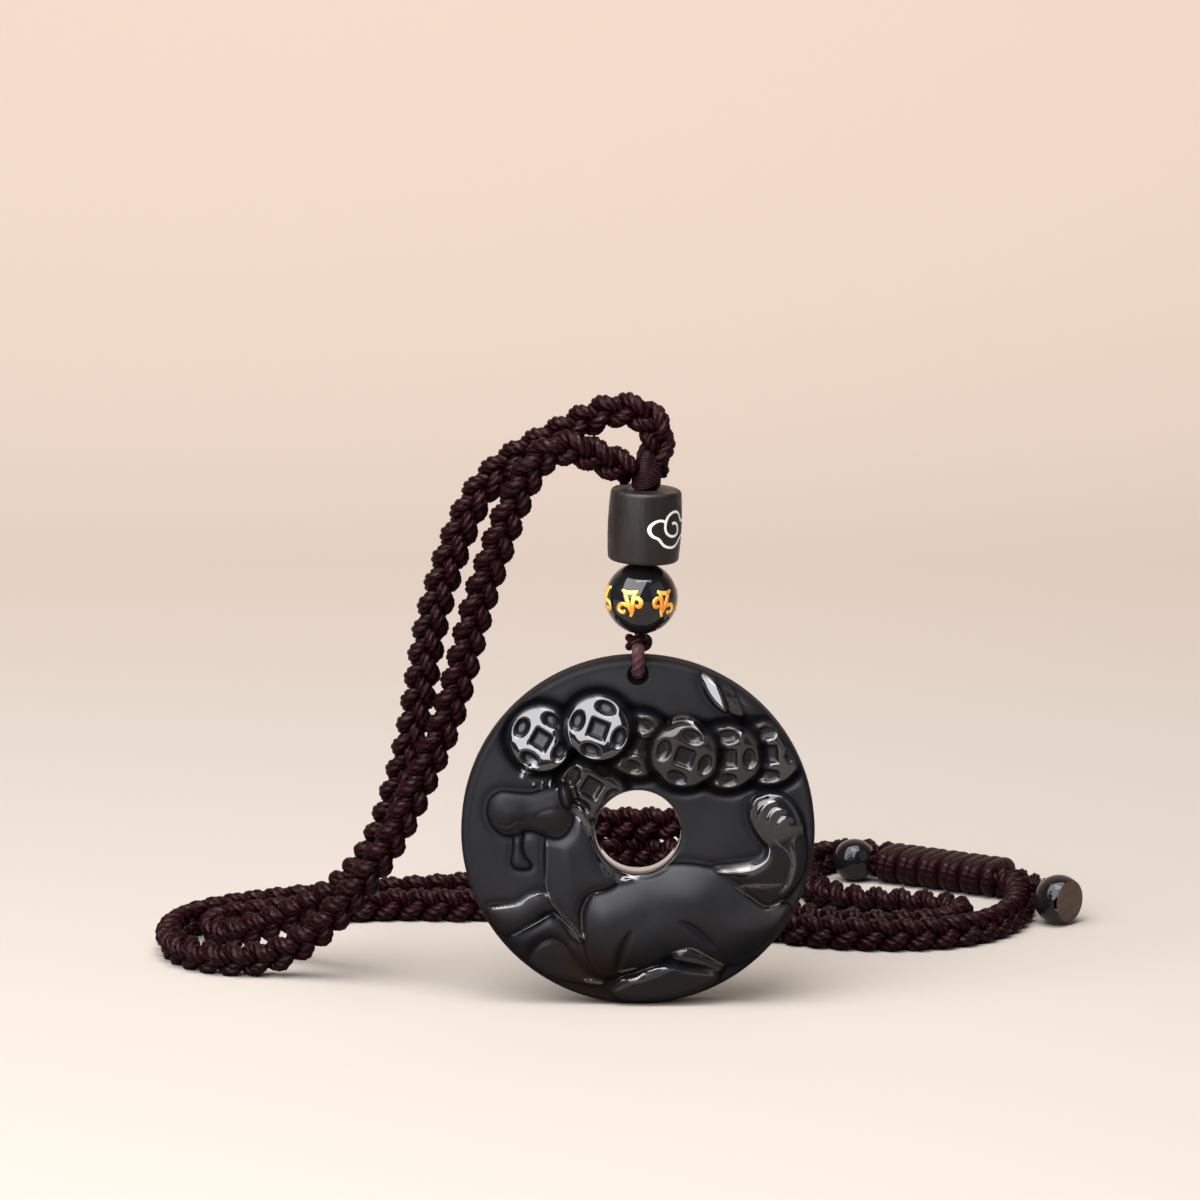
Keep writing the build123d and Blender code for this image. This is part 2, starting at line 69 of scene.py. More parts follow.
cord_b_route = [
    (1.8, 0.1, -6.1), (-2.2, -0.4, -4.3), (-6.4, -1.0, -2.4), (-9.9, -0.9, -3.0),
    (-12.4, -0.4, -5.9), (-14.2, 0.1, -9.4), (-15.8, 0.6, -13.5), (-17.5, 1.4, -18.5),
    (-19.4, 2.4, -24.1), (-21.1, 3.6, -30.7), (-22.7, 4.9, -37.3), (-24.4, 5.9, -43.2),
    (-26.7, 6.4, -48.6), (-29.0, 7.0, -53.9), (-31.4, 8.0, -59.1), (-34.3, 9.4, -64.2),
    (-37.8, 11.2, -69.2), (-41.6, 13.0, -73.9), (-45.7, 14.6, -77.5), (-49.7, 15.4, -79.6),
    (-55.8, 16.0, -80.3), (-61.0, 19.4, -80.3), (-64.2, 24.8, -80.3), (-65.2, 31.4, -80.3),
    (-64.6, 38.2, -80.3), (-62.0, 44.4, -80.3), (-57.2, 49.4, -80.3), (-51.0, 53.4, -80.3),
    (-43.8, 57.0, -80.3), (-35.6, 60.6, -80.3), (-27.0, 62.8, -80.3), (-19.6, 65.6, -80.3),
    (-14.6, 71.8, -80.3), (-12.0, 79.6, -79.9), (-10.4, 86.0, -77.6), (-4.8, 89.6, -75.8),
    (3.4, 90.4, -75.8), (11.6, 89.6, -75.8), (17.8, 85.2, -77.4), (20.4, 78.0, -80.1),
    (20.8, 70.0, -80.3), (21.0, 60.4, -80.3), (22.4, 51.0, -80.3), (26.6, 43.4, -80.3),
    (33.4, 39.0, -80.3), (41.4, 37.8, -80.3), (48.2, 39.6, -80.3), (51.6, 44.8, -80.3),
    (49.4, 50.4, -80.3), (43.4, 52.8, -80.3), (37.0, 54.0, -80.3), (31.4, 58.4, -80.3),
    (28.8, 65.4, -80.3), (28.6, 72.8, -80.3), (28.4, 78.6, -80.3), (29.6, 83.2, -80.2),
    (32.6, 86.2, -80.0), (36.6, 86.6, -79.9), (40.1, 83.9, -79.8), (43.3, 81.7, -79.8),
]
tail_1_route = [(41.1, 78.2, -79.5), (38.5, 79.1, -79.4), (35.9, 79.9, -79.3), (33.2, 80.8, -79.3)]
tail_2_route = [
    (57.9, 72.4, -79.8), (61.2, 70.3, -80.3), (63.9, 67.0, -80.9), (64.7, 62.6, -80.7),
    (63.9, 57.4, -78.9), (65.25, 50.0, -78.8), (65.37, 49.35, -78.8),
]

# Drop: the line of beads, in millimetres from the top of the barrel
drop_top = np.array((3.94, 0.0, -8.62))
drop_tilt = math.radians(2.5)
bead_down = 15.6
bead_r = 5.1
disc_centre = np.array((2.80, 0.0, -57.50))
hole_centre = np.array((2.80, 0.0, -34.70))
rim_top = -32.5
table_z = -82.5
lens = 255.6
camera_at = Vector((-2.567, -1179.906, 194.150)) * MM
camera_aim = Vector((-2.567, 0, -24.533)) * MM

drop_up = np.array((math.sin(drop_tilt), 0.0, math.cos(drop_tilt)))
drop_side = np.array((drop_up[2], 0.0, -drop_up[0]))
drop_back = np.array((0.0, 1.0, 0.0))

# What the settings of a kind share
COLOUR = {"subtype": "COLOR", "size": 4, "min": 0, "max": 1}
LENGTH = {"unit": "LENGTH", "precision": 5}
SHARE = {"subtype": "FACTOR", "min": 0, "max": 1}
POWER = {"unit": "POWER", "min": 0}


class StoneSettings(PropertyGroup):
    """Sizes and colours of the carved disc."""
    spokes: IntProperty(
        name="Spokes", description="Columns of the relief's grid round the disc",
        default=680, min=120, max=900)
    rings: IntProperty(
        name="Rings", description="Rows of the relief's grid from bore to rim",
        default=112, min=30, max=160)
    colour: FloatVectorProperty(
        name="Stone", description="Colour of the stone", default=(0.0020, 0.0022, 0.0031, 1), **COLOUR)
    smoke: FloatVectorProperty(
        name="Smoke", description="Lighter clouds in the stone",
        default=(0.0052, 0.0051, 0.0082, 1), **COLOUR)
    # The tint is the brown of thin stone, and also painted shade on the lower part of the disc.
    tint: FloatVectorProperty(
        name="Tint", description="Brown of the stone where light gets in",
        default=(0.0085, 0.0035, 0.0011, 1), **COLOUR)
    frosted: FloatProperty(
        name="Frosted", description="Roughness of the sanded field", default=0.42, **SHARE)
    polished: FloatProperty(
        name="Polished", description="Roughness of the polished carving", default=0.07, **SHARE)


class BeadSettings(PropertyGroup):
    """Colours of the beads and of what is let into them."""
    wood_dark: FloatVectorProperty(
        name="Dark wood", description="Dark grain of the barrel",
        default=(0.0045, 0.0032, 0.0030, 1), **COLOUR)
    wood_light: FloatVectorProperty(
        name="Light wood", description="Light grain of the barrel",
        default=(0.0095, 0.0060, 0.0044, 1), **COLOUR)
    cut_wood: FloatVectorProperty(
        name="Cut wood", description="Bare face of the end bead",
        default=(0.048, 0.025, 0.011, 1), **COLOUR)
    silver: FloatVectorProperty(
        name="Silver", description="Colour of the cloud", default=(0.78, 0.77, 0.74, 1), **COLOUR)
    gold: FloatVectorProperty(
        name="Gold", description="Colour of the scrolls", default=(0.95, 0.66, 0.13, 1), **COLOUR)
    copper: FloatVectorProperty(
        name="Copper", description="Redder colour of the scrolls",
        default=(0.85, 0.30, 0.04, 1), **COLOUR)


class CordSettings(PropertyGroup):
    """Sizes and colours of the plaited cord."""
    pitch: FloatProperty(
        name="Pitch", description="Length of one strand's turn in the plait",
        default=0.01095, min=0.004, max=0.03, **LENGTH)
    swing: FloatProperty(
        name="Swing", description="How far a strand goes from side to side",
        default=0.00142, min=0.0005, max=0.003, **LENGTH)
    weave: FloatProperty(
        name="Weave", description="How far a strand goes from front to back",
        default=0.00098, min=0.0002, max=0.002, **LENGTH)
    strand: FloatProperty(
        name="Strand", description="Radius of one strand of four yarns",
        default=0.00117, min=0.0003, max=0.003, **LENGTH)
    colour: FloatVectorProperty(
        name="Cord", description="Colour of the cord", default=(0.0080, 0.0009, 0.0015, 1), **COLOUR)
    thread: FloatVectorProperty(
        name="Thread", description="Colour of the lighter thread",
        default=(0.055, 0.022, 0.026, 1), **COLOUR)


class StageSettings(PropertyGroup):
    """Light and floor."""
    floor: FloatVectorProperty(
        name="Floor", description="Colour of the floor", default=(0.300, 0.273, 0.248, 1), **COLOUR)
    backdrop: FloatVectorProperty(
        name="Backdrop", description="Colour of the wall behind",
        default=(0.437, 0.355, 0.300, 1), **COLOUR)
    key: FloatProperty(name="Key light", description="Power of the softbox", default=18.0, **POWER)
    fill: FloatProperty(name="Fill light", description="Power of the fill", default=1.0, **POWER)
    wash: FloatProperty(
        name="Backdrop light", description="Power of the light on the backdrop", default=18.0, **POWER)


# Lines, and meshes made from grids of points


def smoothstep(value, low, high):
    """0 below low, 1 above high, and smooth between."""
    share = np.clip((value - low) / (high - low), 0, 1)
    return share * share * (3 - 2 * share)


def mix(first, second, share):
    """A blend of two values."""
    return first * (1 - share) + second * share


def unit(vectors):
    """The vectors, each made one long."""
    return vectors / np.maximum(np.linalg.norm(vectors, axis=-1, keepdims=True), 1e-12)


def turn_of(steps):
    """Angles at even steps once round."""
    return np.linspace(0, 2 * math.pi, steps, endpoint=False)


def travelled(line):
    """The length of a line up to each of its points."""
    return np.concatenate([[0], np.cumsum(np.linalg.norm(np.diff(line, axis=0), axis=1))])


def smooth_line(points, per_run=8, closed=False):
    """A smooth line through the points (Catmull-Rom), any number of columns."""
    points = np.array(points, float)
    if closed:
        points = np.vstack([points[-1], points, points[0], points[1]])
    else:
        points = np.vstack([2 * points[0] - points[1], points, 2 * points[-1] - points[-2]])
    steps = np.linspace(0, 1, per_run, endpoint=False)[:, None]
    line = np.vstack([
        0.5 * (2 * b + (c - a) * steps + (2 * a - 5 * b + 4 * c - d) * steps ** 2
               + (3 * b - a - 3 * c + d) * steps ** 3)
        for a, b, c, d in zip(points, points[1:], points[2:], points[3:])
    ])
    return line if closed else np.vstack([line, points[-2]])


def even_steps(line, step):
    """The line again with points this far apart."""
    lengths = travelled(line)
    wanted = np.linspace(0, lengths[-1], max(2, int(round(lengths[-1] / step)) + 1))
    return np.column_stack([np.interp(wanted, lengths, column) for column in line.T])


def directions(line, closed=False):
    """The direction of travel at each point of a line."""
    if closed:
        return unit(np.roll(line, -1, axis=0) - np.roll(line, 1, axis=0))
    return unit(np.gradient(line, axis=0))


def carried_frame(line, first_side, closed=False):
    """Side and face directions along a line that turn no more than they must."""
    along = directions(line, closed)
    side = np.array(first_side, float)
    sides = []
    for direction in along:
        side = side - direction * np.dot(side, direction)
        side = side / np.linalg.norm(side)
        sides.append(side)
    return np.array(sides), np.cross(along, sides)


class Build:
    """Vertices, faces, texture coordinates and per-point values of a mesh in the making."""

    def __init__(self):
        self.points = []
        self.faces = []
        self.corners = []
        self.shades = []
        self.count = 0

    def add(self, points, shade, faces, corners):
        """Adds points with their shades, and faces with their texture coordinates."""
        self.points.append(points)
        self.shades.append(np.broadcast_to(shade, len(points)))
        self.faces.append(faces)
        self.corners.append(corners)
        self.count += len(points)

    def grid(self, points, wrap_rows=False, wrap_columns=True, shade=0.5, scale=(1, 1)):
        """Quads over rows and columns of points in millimetres; gives the first point's number."""
        rows, columns = points.shape[:2]
        first = self.count
        i, j = np.meshgrid(np.arange(rows if wrap_rows else rows - 1),
                           np.arange(columns if wrap_columns else columns - 1), indexing="ij")
        i2 = (i + 1) % rows
        j2 = (j + 1) % columns
        quads = np.stack([i * columns + j, i * columns + j2, i2 * columns + j2, i2 * columns + j], -1)
        corner_u = np.stack([j, j + 1, j + 1, j], -1) / columns * scale[0]
        corner_v = np.stack([i, i, i + 1, i + 1], -1) * scale[1]
        self.add(points.reshape(-1, 3), np.reshape(shade, -1), quads.reshape(-1, 4) + first,
                 np.stack([corner_u, corner_v], -1).reshape(-1, 4, 2))
        return first

    def closed_grid(self, points, start, end, shade=0.5, scale=(1, 1)):
        """A grid whose first and last rows are closed with triangles to a point each."""
        rows, columns = points.shape[:2]
        first = self.grid(points, shade=shade, scale=scale) + np.arange(columns)
        for ring, middle, order in ((first, start, -1), (first + (rows - 1) * columns, end, 1)):
            triangles = np.stack([ring, np.roll(ring, -1), np.full(columns, self.count)], -1)
            self.add(np.array([middle], float), shade if np.isscalar(shade) else 0.5,
                     triangles[:, ::order], np.zeros((columns, 3, 2)))

    def tube(self, line, radius, sides=8, closed=False, side=(0, 1, 0), shade=0.5, flat=1.0):
        """A tube along a line, its ends closed unless the line is."""
        side_at, face_at = carried_frame(line, side, closed)
        radii = np.broadcast_to(radius, (len(line),))[:, None, None]
        turn = turn_of(sides)[None, :, None]
        ring = np.cos(turn) * side_at[:, None, :] + flat * np.sin(turn) * face_at[:, None, :]
        points = line[:, None, :] + radii * ring
        step = np.linalg.norm(np.diff(line, axis=0), axis=1).mean()
        if closed:
            self.grid(points, wrap_rows=True, shade=shade, scale=(1, step))
        else:
            self.closed_grid(points, line[0], line[-1], shade, scale=(1, step))

    def piece(self, name, material, node=None, stands_for=True, values=None):
        """Makes the mesh object; with a CAD node it rides on the necklace, and hides that node if it stands
        for it.
        """
        mesh = bpy.data.meshes.new(name)
        points = np.vstack(self.points) * MM
        sizes = np.concatenate([np.full(len(block), block.shape[1]) for block in self.faces])
        loops = np.concatenate([block.reshape(-1) for block in self.faces])
        mesh.vertices.add(len(points))
        mesh.vertices.foreach_set("co", points.astype(np.float32).reshape(-1))
        mesh.loops.add(len(loops))
        mesh.loops.foreach_set("vertex_index", loops.astype(np.int32))
        mesh.polygons.add(len(sizes))
        starts = np.concatenate([[0], np.cumsum(sizes)[:-1]])
        mesh.polygons.foreach_set("loop_start", starts.astype(np.int32))
        mesh.update(calc_edges=True)
        mesh.validate()
        layer = mesh.uv_layers.new(name="Along")
        uv = np.concatenate([block.reshape(-1, 2) for block in self.corners])
        layer.data.foreach_set("uv", uv.astype(np.float32).reshape(-1))
        for label, value in {"shade": np.concatenate(self.shades), **(values or {})}.items():
            layer = mesh.attributes.new(label, "FLOAT", "POINT")
            layer.data.foreach_set("value", value.reshape(-1).astype(np.float32))
        mesh.materials.append(material)
        mesh.shade_smooth()
        piece = bpy.data.objects.new(name, mesh)
        bpy.context.scene.collection.objects.link(piece)
        if node:
            attach(piece, "necklace", node, stands_for)
        return piece


def attach(piece, body, node, stands_for=True):
    """Sets a piece on its body, and hides the node if the piece stands for it."""
    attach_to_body(piece, body)
    if stands_for:
        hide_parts(node)


# Materials


class Shader:
    """A material's or group's nodes, joined as they are made."""

    def __init__(self, tree):
        self.tree = tree

    def join(self, node, values):
        """Joins values to a node's inputs or sets them there."""
        for name, value in values.items():
            if isinstance(value, bpy.types.NodeSocket):
                self.tree.links.new(value, node.inputs[name])
            else:
                node.inputs[name].default_value = value

    def node(self, kind, inputs=None, **settings):
        """A node's outputs, with these inputs, each a value or another node's output."""
        node = self.tree.nodes.new(kind)
        for name, value in settings.items():
            setattr(node, name, value)
        self.join(node, inputs or {})
        return node.outputs

    def math(self, operation, first, second=0.0, third=0.5):
        """An operation on two or three values."""
        return self.node("ShaderNodeMath", {0: first, 1: second, 2: third}, operation=operation)[0]

    def plus(self, first, second):
        """A sum of two values."""
        return self.math("ADD", first, second)

    def times(self, first, second):
        """A product of two values."""
        return self.math("MULTIPLY", first, second)

    def mix(self, factor, first, second):
        """A colour between two."""
        inputs = {"Factor": factor, 6: first, 7: second}
        return self.node("ShaderNodeMix", inputs, data_type="RGBA")[2]

    def ramp(self, value, low, high):
        """0 where the value is low, 1 where it is high, and smooth between."""
        inputs = {"Value": value, "From Min": low, "From Max": high}
        return self.node("ShaderNodeMapRange", inputs, interpolation_type="SMOOTHSTEP")[0]

    def place(self):
        """The object's own space."""
        return self.node("ShaderNodeTexCoord")["Object"]

    def noise(self, scale, detail, vector=None, roughness=0.5):
        """Noise in the object's own space, or along another vector."""
        inputs = {"Vector": vector or self.place(), "Scale": scale, "Detail": detail,
                  "Roughness": roughness}
        return self.node("ShaderNodeTexNoise", inputs)["Fac"]

    def grain(self, grain_scale, cloud_scale, vector=None):
        """The shared fine grain and its slow clouds."""
        inputs = {"Vector": vector or self.place(), "Grain scale": grain_scale,
                  "Cloud scale": cloud_scale}
        outputs = self.node("ShaderNodeGroup", inputs, node_tree=group_fine_grain())
        return outputs["Grain"], outputs["Clouds"]

    def value(self, name):
        """A value that the mesh carries at its points."""
        return self.node("ShaderNodeAttribute", attribute_name=name)["Fac"]

    def bump(self, height, strength, distance):
        """A normal from a height."""
        inputs = {"Height": height, "Strength": strength, "Distance": distance}
        return self.node("ShaderNodeBump", inputs)["Normal"]


class Finish(Shader):
    """A new material's nodes, round its Principled shader."""

    def __init__(self, name):
        self.material = bpy.data.materials.new(name)
        self.material.use_nodes = True
        super().__init__(self.material.node_tree)

    def done(self, **sockets):
        """Gives the Principled shader these values by its inputs' names; gives the material."""
        self.join(self.tree.nodes["Principled BSDF"],
                  {name.replace("_", " ").title().replace("Ior", "IOR"): value
                   for name, value in sockets.items()})
        return self.material


def new_group(name, inputs, outputs):
    """A shader node group with named sockets; gives its tree, its shader and its input's outputs."""
    tree = bpy.data.node_groups.new(name, "ShaderNodeTree")
    for label, default in inputs.items():
        kind = "NodeSocketVector" if default is None else "NodeSocketFloat"
        socket = tree.interface.new_socket(name=label, in_out="INPUT", socket_type=kind)
        if default is not None:
            socket.default_value = default
    for label in outputs:
        tree.interface.new_socket(name=label, in_out="OUTPUT", socket_type="NodeSocketFloat")
    shader = Shader(tree)
    return tree, shader, shader.node("NodeGroupInput")


def group_fine_grain():
    """Fine sanded grain with slow clouds in it, for stone, wood, metal and yarn."""
    if "Fine grain" in bpy.data.node_groups:
        return bpy.data.node_groups["Fine grain"]
    tree, shader, given = new_group(
        "Fine grain", {"Vector": None, "Grain scale": 4000.0, "Cloud scale": 90.0},
        ("Grain", "Clouds"))
    grain = shader.noise(given["Grain scale"], 2.0, given["Vector"], 0.7)
    clouds = shader.noise(given["Cloud scale"], 4.0, given["Vector"], 0.6)
    shader.node("NodeGroupOutput", {"Grain": grain, "Clouds": clouds})
    return tree


def group_yarn():
    """Twist of a yarn's plies and its loose fibres, from the tube's own coordinates."""
    if "Yarn twist" in bpy.data.node_groups:
        return bpy.data.node_groups["Yarn twist"]
    tree, shader, given = new_group(
        "Yarn twist", {"Along": None, "Plies": 3.0, "Turns per mm": 0.9, "Fibre scale": 9.0},
        ("Height", "Glint"))
    parts = shader.node("ShaderNodeSeparateXYZ", {"Vector": given["Along"]})
    turned = shader.plus(shader.times(parts["X"], given["Plies"]),
                         shader.times(parts["Y"], given["Turns per mm"]))
    wave = shader.math("SINE", shader.times(turned, 2 * math.pi))
    ply = shader.math("MULTIPLY_ADD", wave, 0.5, 0.5)
    stretched = shader.node("ShaderNodeCombineXYZ", {"X": shader.times(turned, 6.0), "Y": parts["Y"]})
    fibres = shader.noise(given["Fibre scale"], 2.0, stretched[0], 0.6)
    shader.node("NodeGroupOutput", {"Height": shader.plus(ply, shader.times(fibres, 0.35)),
                                    "Glint": shader.ramp(fibres, 0.45, 0.75)})
    return tree


def material_stone():
    """Black volcanic glass: sanded field, polished carving, brown where it is thin; browner and darker
    towards the bottom, in recesses and at the rim as painted shade.
    """
    look = bpy.context.scene.pendant_stone
    shader = Finish("obsidian")
    polish = shader.value("polish")
    dull = shader.value("dull")
    grain, clouds = shader.grain(5200.0, 110.0)
    brown = shader.times(shader.value("tint"), shader.ramp(clouds, 0.35, 0.7))
    smoke = shader.mix(shader.times(clouds, 0.8), look.colour, look.smoke)
    scuffs = shader.times(shader.ramp(clouds, 0.4, 0.65), 0.08)
    sanded = shader.plus(shader.plus(scuffs, look.frosted), shader.times(dull, 0.5))
    rough = shader.node("ShaderNodeMix", {"Factor": polish, 2: sanded, 3: look.polished},
                        data_type="FLOAT")[0]
    sand = shader.times(grain, shader.math("SUBTRACT", 1.0, polish))
    # Dulled points are rougher and partly metal over a near-black colour, so they go dark: painted shade.
    return shader.done(
        base_color=shader.mix(brown, smoke, look.tint), roughness=rough,
        metallic=shader.times(dull, 0.85), specular_ior_level=0.27, coat_weight=polish,
        coat_roughness=0.03, coat_ior=1.65, normal=shader.bump(sand, 0.35, 0.00004))


def material_wood():
    """Dark close-grained wood, oiled and handled smooth."""
    look = bpy.context.scene.pendant_beads
    shader = Finish("dark wood")
    along = shader.node("ShaderNodeMapping", {"Vector": shader.place(), "Scale": (1.0, 1.0, 0.16)})
    grain, clouds = shader.grain(2600.0, 420.0, along[0])
    streaks = shader.ramp(clouds, 0.38, 0.66)
    pores = shader.ramp(grain, 0.5, 0.75)
    blotch = shader.ramp(shader.noise(240.0, 3.0), 0.4, 0.65)
    base = shader.mix(streaks, look.wood_dark, look.wood_light)
    height = shader.plus(streaks, shader.times(pores, -0.8))
    return shader.done(
        base_color=shader.mix(shader.times(pores, 0.6), base, (0.002, 0.0015, 0.0012, 1)),
        roughness=shader.plus(0.38, shader.times(blotch, 0.20)), specular_ior_level=0.30,
        normal=shader.bump(height, 0.45, 0.00006))


def material_silver():
    """Bright silver, burnished along its line."""
    look = bpy.context.scene.pendant_beads
    shader = Finish("silver")
    grain, clouds = shader.grain(6000.0, 900.0)
    wear = shader.ramp(clouds, 0.4, 0.7)
    base = shader.mix(shader.times(wear, 0.5), look.silver, (0.72, 0.71, 0.69, 1))
    # Only partly metallic over a light colour, so the silver looks bright from every side: painted
    # reflection; the darker patches are wear.
    return shader.done(
        base_color=base, roughness=shader.plus(0.32, shader.times(wear, 0.2)),
        metallic=0.35, normal=shader.bump(grain, 0.3, 0.00003))


def material_gilding():
    """Gold scrolls with redder patches."""
    look = bpy.context.scene.pendant_beads
    shader = Finish("gilding")
    patches = shader.ramp(shader.noise(420.0, 3.0), 0.42, 0.62)
    speckle = shader.noise(5200.0, 2.0)
    return shader.done(
        base_color=shader.mix(patches, look.gold, look.copper),
        roughness=shader.plus(0.25, shader.times(speckle, 0.25)), metallic=0.65,
        normal=shader.bump(speckle, 0.4, 0.00004))


def material_gloss(name, colour, shine):
    """A polished black bead with the faintest handling marks."""
    shader = Finish(name)
    grain, clouds = shader.grain(3800.0, 260.0)
    marks = shader.ramp(clouds, 0.5, 0.72)
    return shader.done(
        base_color=shader.mix(shader.times(marks, 0.5), colour, (0.022, 0.016, 0.014, 1)),
        roughness=shader.plus(0.05, shader.times(marks, 0.05)), specular_ior_level=0.10,
        coat_weight=shine, coat_roughness=0.03, normal=shader.bump(grain, 0.04, 0.00002))


def material_cut_wood():
    """Bare brown wood with growth rings, where the end bead is cut flat."""
    look = bpy.context.scene.pendant_beads
    shader = Finish("cut wood")
    rings = shader.node("ShaderNodeTexWave", {"Vector": shader.place(), "Scale": 170.0,
                                              "Distortion": 6.0, "Detail": 2.0},
                        wave_type="RINGS")["Fac"]
    pores = shader.ramp(shader.noise(3800.0, 2.0), 0.5, 0.8)
    base = shader.mix(rings, look.cut_wood, (0.032, 0.016, 0.008, 1))
    return shader.done(
        base_color=shader.mix(shader.times(pores, 0.5), base, (0.02, 0.01, 0.006, 1)),
        roughness=0.5, normal=shader.bump(pores, 0.3, 0.00005))


def material_yarn(name, colour, plies, turns, bright):
    """Silky dyed yarn: plies and loose fibres, a painted pink highlight and painted greenish glints on the
    fibres, and painted shade in the furrows.
    """
    shader = Finish(name)
    yarn = shader.node("ShaderNodeGroup",
                       {"Along": shader.node("ShaderNodeUVMap", uv_map="Along")[0], "Plies": plies,
                        "Turns per mm": turns, "Fibre scale": 2.4}, node_tree=group_yarn())
    glint = yarn["Glint"]
    shade = shader.value("shade")
    flecks = shader.ramp(shader.grain(3000.0, 620.0)[1], 0.48, 0.68)
    # Painted light: a brighter pink where fibres glint, a greenish glint on slow flecks, and a half-dark
    # colour for painted shade in the furrows.
    painted_glint_pink = tuple(min(1, part * bright) for part in colour[:3]) + (1,)
    painted_green_glint = (colour[0] * 1.3, colour[0] * 1.2, colour[0] * 1.0, 1)
    furrow = tuple(part * 0.5 for part in colour[:3]) + (1,)
    base = shader.mix(shader.times(flecks, 0.55), shader.mix(glint, colour, painted_glint_pink), painted_green_glint)
    return shader.done(
        base_color=shader.mix(shade, furrow, base),
        roughness=shader.plus(0.42, shader.times(glint, -0.12)), specular_ior_level=0.07,
        specular_tint=(1.0, 0.55, 0.62, 1), coat_roughness=0.20,
        coat_weight=shader.times(shader.times(glint, shade), 0.7),
        normal=shader.bump(yarn["Height"], 0.9, 0.00010))


def yarn_materials():
    """The cord's yarn and the lighter thread, made once."""
    look = bpy.context.scene.pendant_cord
    if "cord yarn" not in bpy.data.materials:
        material_yarn("cord yarn", look.colour, 2.0, 1.9, 2.6)
        material_yarn("thread", look.thread, 3.0, 1.6, 2.2)
    return bpy.data.materials["cord yarn"], bpy.data.materials["thread"]


# Cords


def route_line(name, route):
    """The smooth line of a route: a NURBS spline read back as points in millimetres."""
    curve = bpy.data.curves.new(name, "CURVE")
    curve.dimensions = "3D"
    curve.resolution_u = 24
    spline = curve.splines.new("NURBS")
    spline.points.add(len(route) - 1)
    for point, place in zip(spline.points, route):
        point.co = (place[0] * MM, place[1] * MM, place[2] * MM, 1)
    spline.order_u = 3
    spline.use_endpoint_u = True
    holder = bpy.data.objects.new(name, curve)
    bpy.context.scene.collection.objects.link(holder)
    mesh = evaluated_mesh(holder)
    line = np.array([vertex.co[:] for vertex in mesh.vertices]) / MM
    bpy.data.meshes.remove(mesh)
    bpy.data.objects.remove(holder)
    bpy.data.curves.remove(curve)
    return line


def evaluated_mesh(piece):
    """A new mesh of an object as its modifiers or its curve make it."""
    depsgraph = bpy.context.evaluated_depsgraph_get()
    return bpy.data.meshes.new_from_object(piece.evaluated_get(depsgraph))


def plait(build, line, size=1.0, phase=0.0):
    """A plait of three strands along a line: each a plump bundle of four yarns laid together."""
    look = bpy.context.scene.pendant_cord
    swing, weave, thick, pitch = (length / MM * size for length in
                                  (look.swing, look.weave, look.strand, look.pitch))
    strands, yarns, sides = 3, 4, 20
    lay_length = pitch * 0.42
    furrow = 0.24
    clearance = 0.02
    side, face = carried_frame(line, (1, 0, 0))
    lengths = travelled(line)
    column = np.arange(sides)
    crest = np.abs(np.sin(math.pi * yarns * column / sides)) ** 0.8
    ridges = 1 - furrow + furrow * crest
    lay = 2 * math.pi * (lengths[:, None] / lay_length + column[None, :] / sides)
    step = np.diff(lengths).mean()
    for strand in range(strands):
        turn = 2 * math.pi * (lengths / pitch + strand / strands + phase)
        middle = (line + side * (swing * np.cos(turn))[:, None]
                  + face * (weave * np.sin(2 * turn))[:, None])
        travel = directions(middle)
        out = unit(side * np.cos(turn)[:, None] + face * (0.8 * np.sin(turn))[:, None])
        out = unit(out - travel * np.sum(out * travel, axis=1, keepdims=True))
        beside = np.cross(travel, out)
        radius = thick * (0.92 + 0.12 * np.cos(turn) ** 2)[:, None] * ridges
        points = (middle[:, None, :] + (radius * np.cos(lay))[:, :, None] * out[:, None, :]
                  + (radius * np.sin(lay))[:, :, None] * beside[:, None, :])
        points[..., 2] = np.maximum(points[..., 2], table_z + clearance)
        yarn = column * yarns // sides
        # Painted shade: darkest in the furrows between the yarns, with a slow change of tone along each
        # yarn.
        shade = crest * (0.75 + 0.25 * np.sin(lengths[:, None] / 7.3 + 1.7 * strand + 2.9 * yarn))
        build.closed_grid(points, middle[0], middle[-1], shade, scale=(yarns, step))


